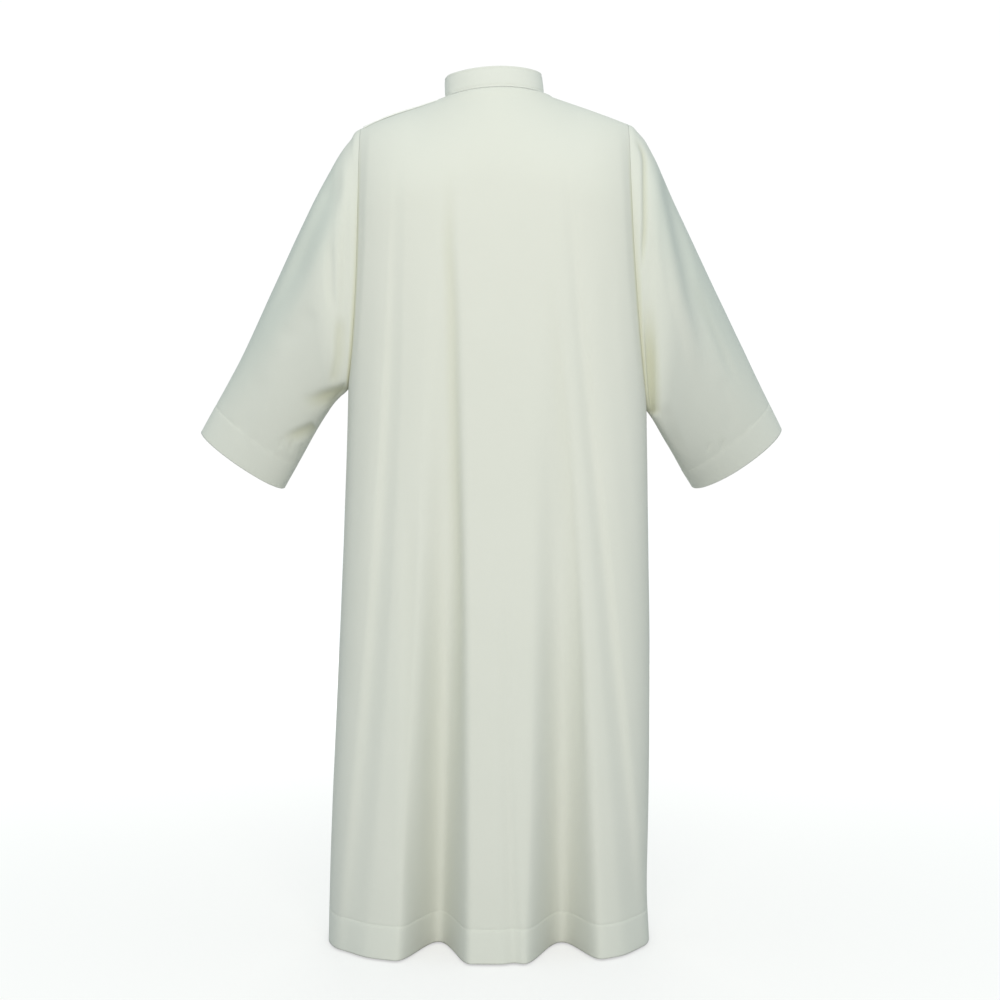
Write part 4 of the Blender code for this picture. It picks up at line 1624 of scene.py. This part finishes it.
BACK_CREASES = (
    Crease(((-0.0745, -0.12), (-0.0750, -0.27), (-0.0706, -0.352), (-0.0674, -0.516), (-0.0641, -0.68),
            (-0.0608, -0.845), (-0.0608, -1.40)), 0.018, 0.016, 0.0036,
           start_fade=0.16, end_fade=0.6, sharp=0.15, tone=0.6),
    Crease(((0.088, -0.26), (0.094, -0.36), (0.1035, -0.434), (0.118, -0.598), (0.128, -0.7625),
            (0.1347, -0.927), (0.138, -1.091), (0.142, -1.2555), (0.1467, -1.38)), 0.026, 0.013, 0.0028,
           end_fade=0.4, sharp=0.2, tone=0.2),
    Crease(((0.112, -0.12), (0.1183, -0.1875), (0.1314, -0.27), (0.1446, -0.434), (0.166, -0.598),
            (0.1906, -0.7625), (0.202, -0.927), (0.2185, -1.091), (0.2317, -1.2555)), 0.034, 0.026, 0.0016,
           tone=0.0),
    Crease(((-0.164, -0.24), (-0.164, -0.516), (-0.181, -0.68), (-0.197, -0.845), (-0.212, -1.009),
            (-0.225, -1.173), (-0.236, -1.3376)), 0.040, 0.046, 0.0016, start_fade=0.3, tone=0.0),
    Crease(((-0.138, -0.62), (-0.1396, -1.25), (-0.126, -1.40)), 0.022, 0.022, 0.0022, end_fade=0.2),
    Crease(((0.020, -0.80), (0.0246, -1.10), (0.034, -1.25), (0.0484, -1.40)), 0.020, 0.024, 0.0008,
           end_fade=0.2, tone=0.0),
    Crease(((0.036, -0.13), (0.030, -0.36), (0.018, -0.60), (0.010, -0.82)), 0.050, 0.040, 0.0012, tone=0.0),
    Crease(((-0.014, -0.10), (-0.020, -0.24), (-0.030, -0.42)), 0.036, 0.040, 0.0009, tone=0.0),
    Crease(((-0.205, -0.20), (-0.210, -0.40), (-0.224, -0.62), (-0.238, -0.90), (-0.250, -1.20)),
           0.018, 0.024, 0.0006, tone=0.0),
    Crease(((0.185, -0.22), (0.192, -0.40), (0.214, -0.62), (0.232, -0.86)), 0.022, 0.016, 0.0006, tone=0.0),
)
FRONT_CREASES = (
    Crease(((-0.052, -0.20), (-0.056, -0.40), (-0.060, -0.62), (-0.064, -0.85), (-0.066, -1.38)),
           0.012, 0.040, 0.0038, Face.FRONT, end_fade=0.45, sharp=0.4),
    Crease(((0.088, -0.30), (0.096, -0.45), (0.104, -0.65), (0.112, -0.90), (0.118, -1.36)), 0.036, 0.013,
           0.0030, Face.FRONT, end_fade=0.4, sharp=0.3),
    Crease(((-0.128, -0.16), (-0.148, -0.34), (-0.172, -0.62), (-0.192, -0.92), (-0.208, -1.24)),
           0.030, 0.026, 0.0024, Face.FRONT),
    Crease(((0.150, -0.18), (0.164, -0.38), (0.184, -0.66), (0.204, -1.02)), 0.026, 0.030, 0.0020,
           Face.FRONT),
    Crease(((0.022, -0.22), (0.016, -0.48), (0.012, -0.76)), 0.040, 0.034, 0.0015, Face.FRONT),
    Crease(((-0.118, -0.70), (-0.126, -1.02), (-0.122, -1.36)), 0.022, 0.020, 0.0020, Face.FRONT),
)
LEFT_CREASES = (
    Crease(((-0.2486, -0.095), (-0.2537, -0.1794), (-0.2604, -0.2634), (-0.2604, -0.381)),
           0.016, 0.012, -0.0026, start_fade=0.2),
    Crease(((-0.262, -0.12), (-0.285, -0.18), (-0.318, -0.255), (-0.354, -0.335), (-0.392, -0.405)),
           0.018, 0.034, 0.0058, start_fade=0.2, end_fade=0.45, tone=0.0),
    Crease(((-0.2735, -0.24), (-0.2735, -0.33), (-0.264, -0.385)), 0.014, 0.010, 0.0020, tone=0.1),
    Crease(((-0.2585, -0.37), (-0.262, -0.44), (-0.276, -0.498)), 0.012, 0.018, 0.0030,
           end_fade=0.2, tone=0.8),
    Crease(((-0.334, -0.523), (-0.300, -0.514), (-0.270, -0.505), (-0.245, -0.498)), 0.024, 0.018, 0.0050,
           start_fade=0.6, end_fade=0.05, tone=1.1),
    Crease(((-0.368, -0.586), (-0.340, -0.574), (-0.306, -0.560)), 0.018, 0.014, 0.0034, start_fade=0.6,
           end_fade=0.05, tone=1.2),
    Crease(((-0.300, -0.36), (-0.336, -0.40), (-0.372, -0.42)), 0.030, 0.030, 0.0016, tone=0.0),
    Crease(((-0.386, -0.46), (-0.414, -0.52), (-0.446, -0.60)), 0.026, 0.026, 0.0012, tone=0.0),
    Crease(((-0.330, -0.588), (-0.336, -0.612)), 0.004, 0.004, 0.0014),
    Crease(((-0.346, -0.582), (-0.353, -0.606)), 0.003, 0.005, 0.0016),
    Crease(((-0.363, -0.578), (-0.370, -0.600)), 0.004, 0.004, 0.0013),
    Crease(((-0.272, -0.17), (-0.318, -0.28), (-0.366, -0.39)), 0.014, 0.020, 0.0030, Face.FRONT),
    Crease(((-0.326, -0.500), (-0.296, -0.516), (-0.268, -0.534)), 0.010, 0.012, 0.0040, Face.FRONT),
    Crease(((-0.380, -0.44), (-0.410, -0.51), (-0.436, -0.57)), 0.012, 0.014, 0.0022, Face.FRONT),
)
RIGHT_CREASES = (
    Crease(((0.2335, -0.072), (0.2486, -0.0988), (0.2512, -0.1122), (0.2503, -0.1626), (0.2495, -0.2298),
            (0.2453, -0.2836), (0.2402, -0.3138)), 0.008, 0.007, 0.0044, start_fade=0.15, end_fade=0.3,
           sharp=0.5, tone=0.8),
    Crease(((0.258, -0.13), (0.264, -0.20), (0.274, -0.28), (0.288, -0.36)), 0.012, 0.012, -0.0020),
    Crease(((0.2537, -0.092), (0.2621, -0.1122), (0.2738, -0.176), (0.2906, -0.2634), (0.308, -0.346),
            (0.3327, -0.4297), (0.3589, -0.5148)), 0.018, 0.028, -0.0040, start_fade=0.15),
    Crease(((0.2740, -0.100), (0.2960, -0.168), (0.3170, -0.252), (0.3340, -0.330), (0.3590, -0.4100),
            (0.386, -0.480)), 0.028, 0.018, 0.0054, start_fade=0.2, end_fade=0.4, tone=0.0),
    Crease(((0.335, -0.300), (0.3625, -0.368), (0.410, -0.468), (0.436, -0.512)), 0.014, 0.012, 0.0026,
           tone=0.1),
    Crease(((0.2490, -0.330), (0.2540, -0.40), (0.2580, -0.47), (0.2620, -0.545)), 0.012, 0.024, 0.0056,
           start_fade=0.6, end_fade=0.05, tone=1.1),
    Crease(((0.284, -0.52), (0.300, -0.565), (0.318, -0.61)), 0.018, 0.018, 0.0020, tone=0.1),
    Crease(((0.390, -0.47), (0.404, -0.53), (0.414, -0.59)), 0.022, 0.022, 0.0012, tone=0.0),
    Crease(((0.372, -0.586), (0.368, -0.606)), 0.004, 0.004, 0.0013),
    Crease(((0.396, -0.582), (0.394, -0.602)), 0.004, 0.005, 0.0015),
    Crease(((0.272, -0.16), (0.316, -0.27), (0.362, -0.38)), 0.014, 0.018, 0.0030, Face.FRONT),
    Crease(((0.262, -0.42), (0.284, -0.49), (0.310, -0.57)), 0.012, 0.014, 0.0034, Face.FRONT),
    Crease(((0.392, -0.44), (0.420, -0.50), (0.446, -0.56)), 0.014, 0.012, 0.0022, Face.FRONT),
)


def main() -> None:
    """Builds and dresses every piece in order, then the studio round them."""
    logging.basicConfig(level=logging.INFO, format="%(message)s")
    form = BodyForm()
    cloth = ClothFinish("cream_cloth", (0.785, 0.79, 0.742), (0.765, 0.775, 0.722))
    band = ClothFinish("collar_cloth", (0.805, 0.82, 0.78), (0.785, 0.80, 0.76))
    # painted highlight: the flap's cloth is a whiter copy of the robe's, so its edge reads as a lit white
    # line
    facing = ClothFinish("flap_highlight_cloth", (0.93, 0.94, 0.91), (0.91, 0.92, 0.89))
    thread = ThreadFinish("cream_thread", (0.79, 0.79, 0.72))
    pieces = [
        Panel(form, Face.BACK, cloth, BACK_CREASES, thread),
        Panel(form, Face.FRONT, cloth, FRONT_CREASES, thread),
        Sleeve(form, Side.LEFT, cloth, LEFT_CREASES, thread, LEFT_STATIONS, root_shade=0.010),
        Sleeve(form, Side.RIGHT, cloth, RIGHT_CREASES, thread, RIGHT_STATIONS),
        Collar(form, band, thread),
        Placket(form, facing, thread),
    ]
    for piece in pieces:
        made = piece.build()
        piece.dress()
        LOG.info("%s: %d faces", made.name, len(made.data.polygons))
    Studio().build()


if __name__ == "__main__":
    main()
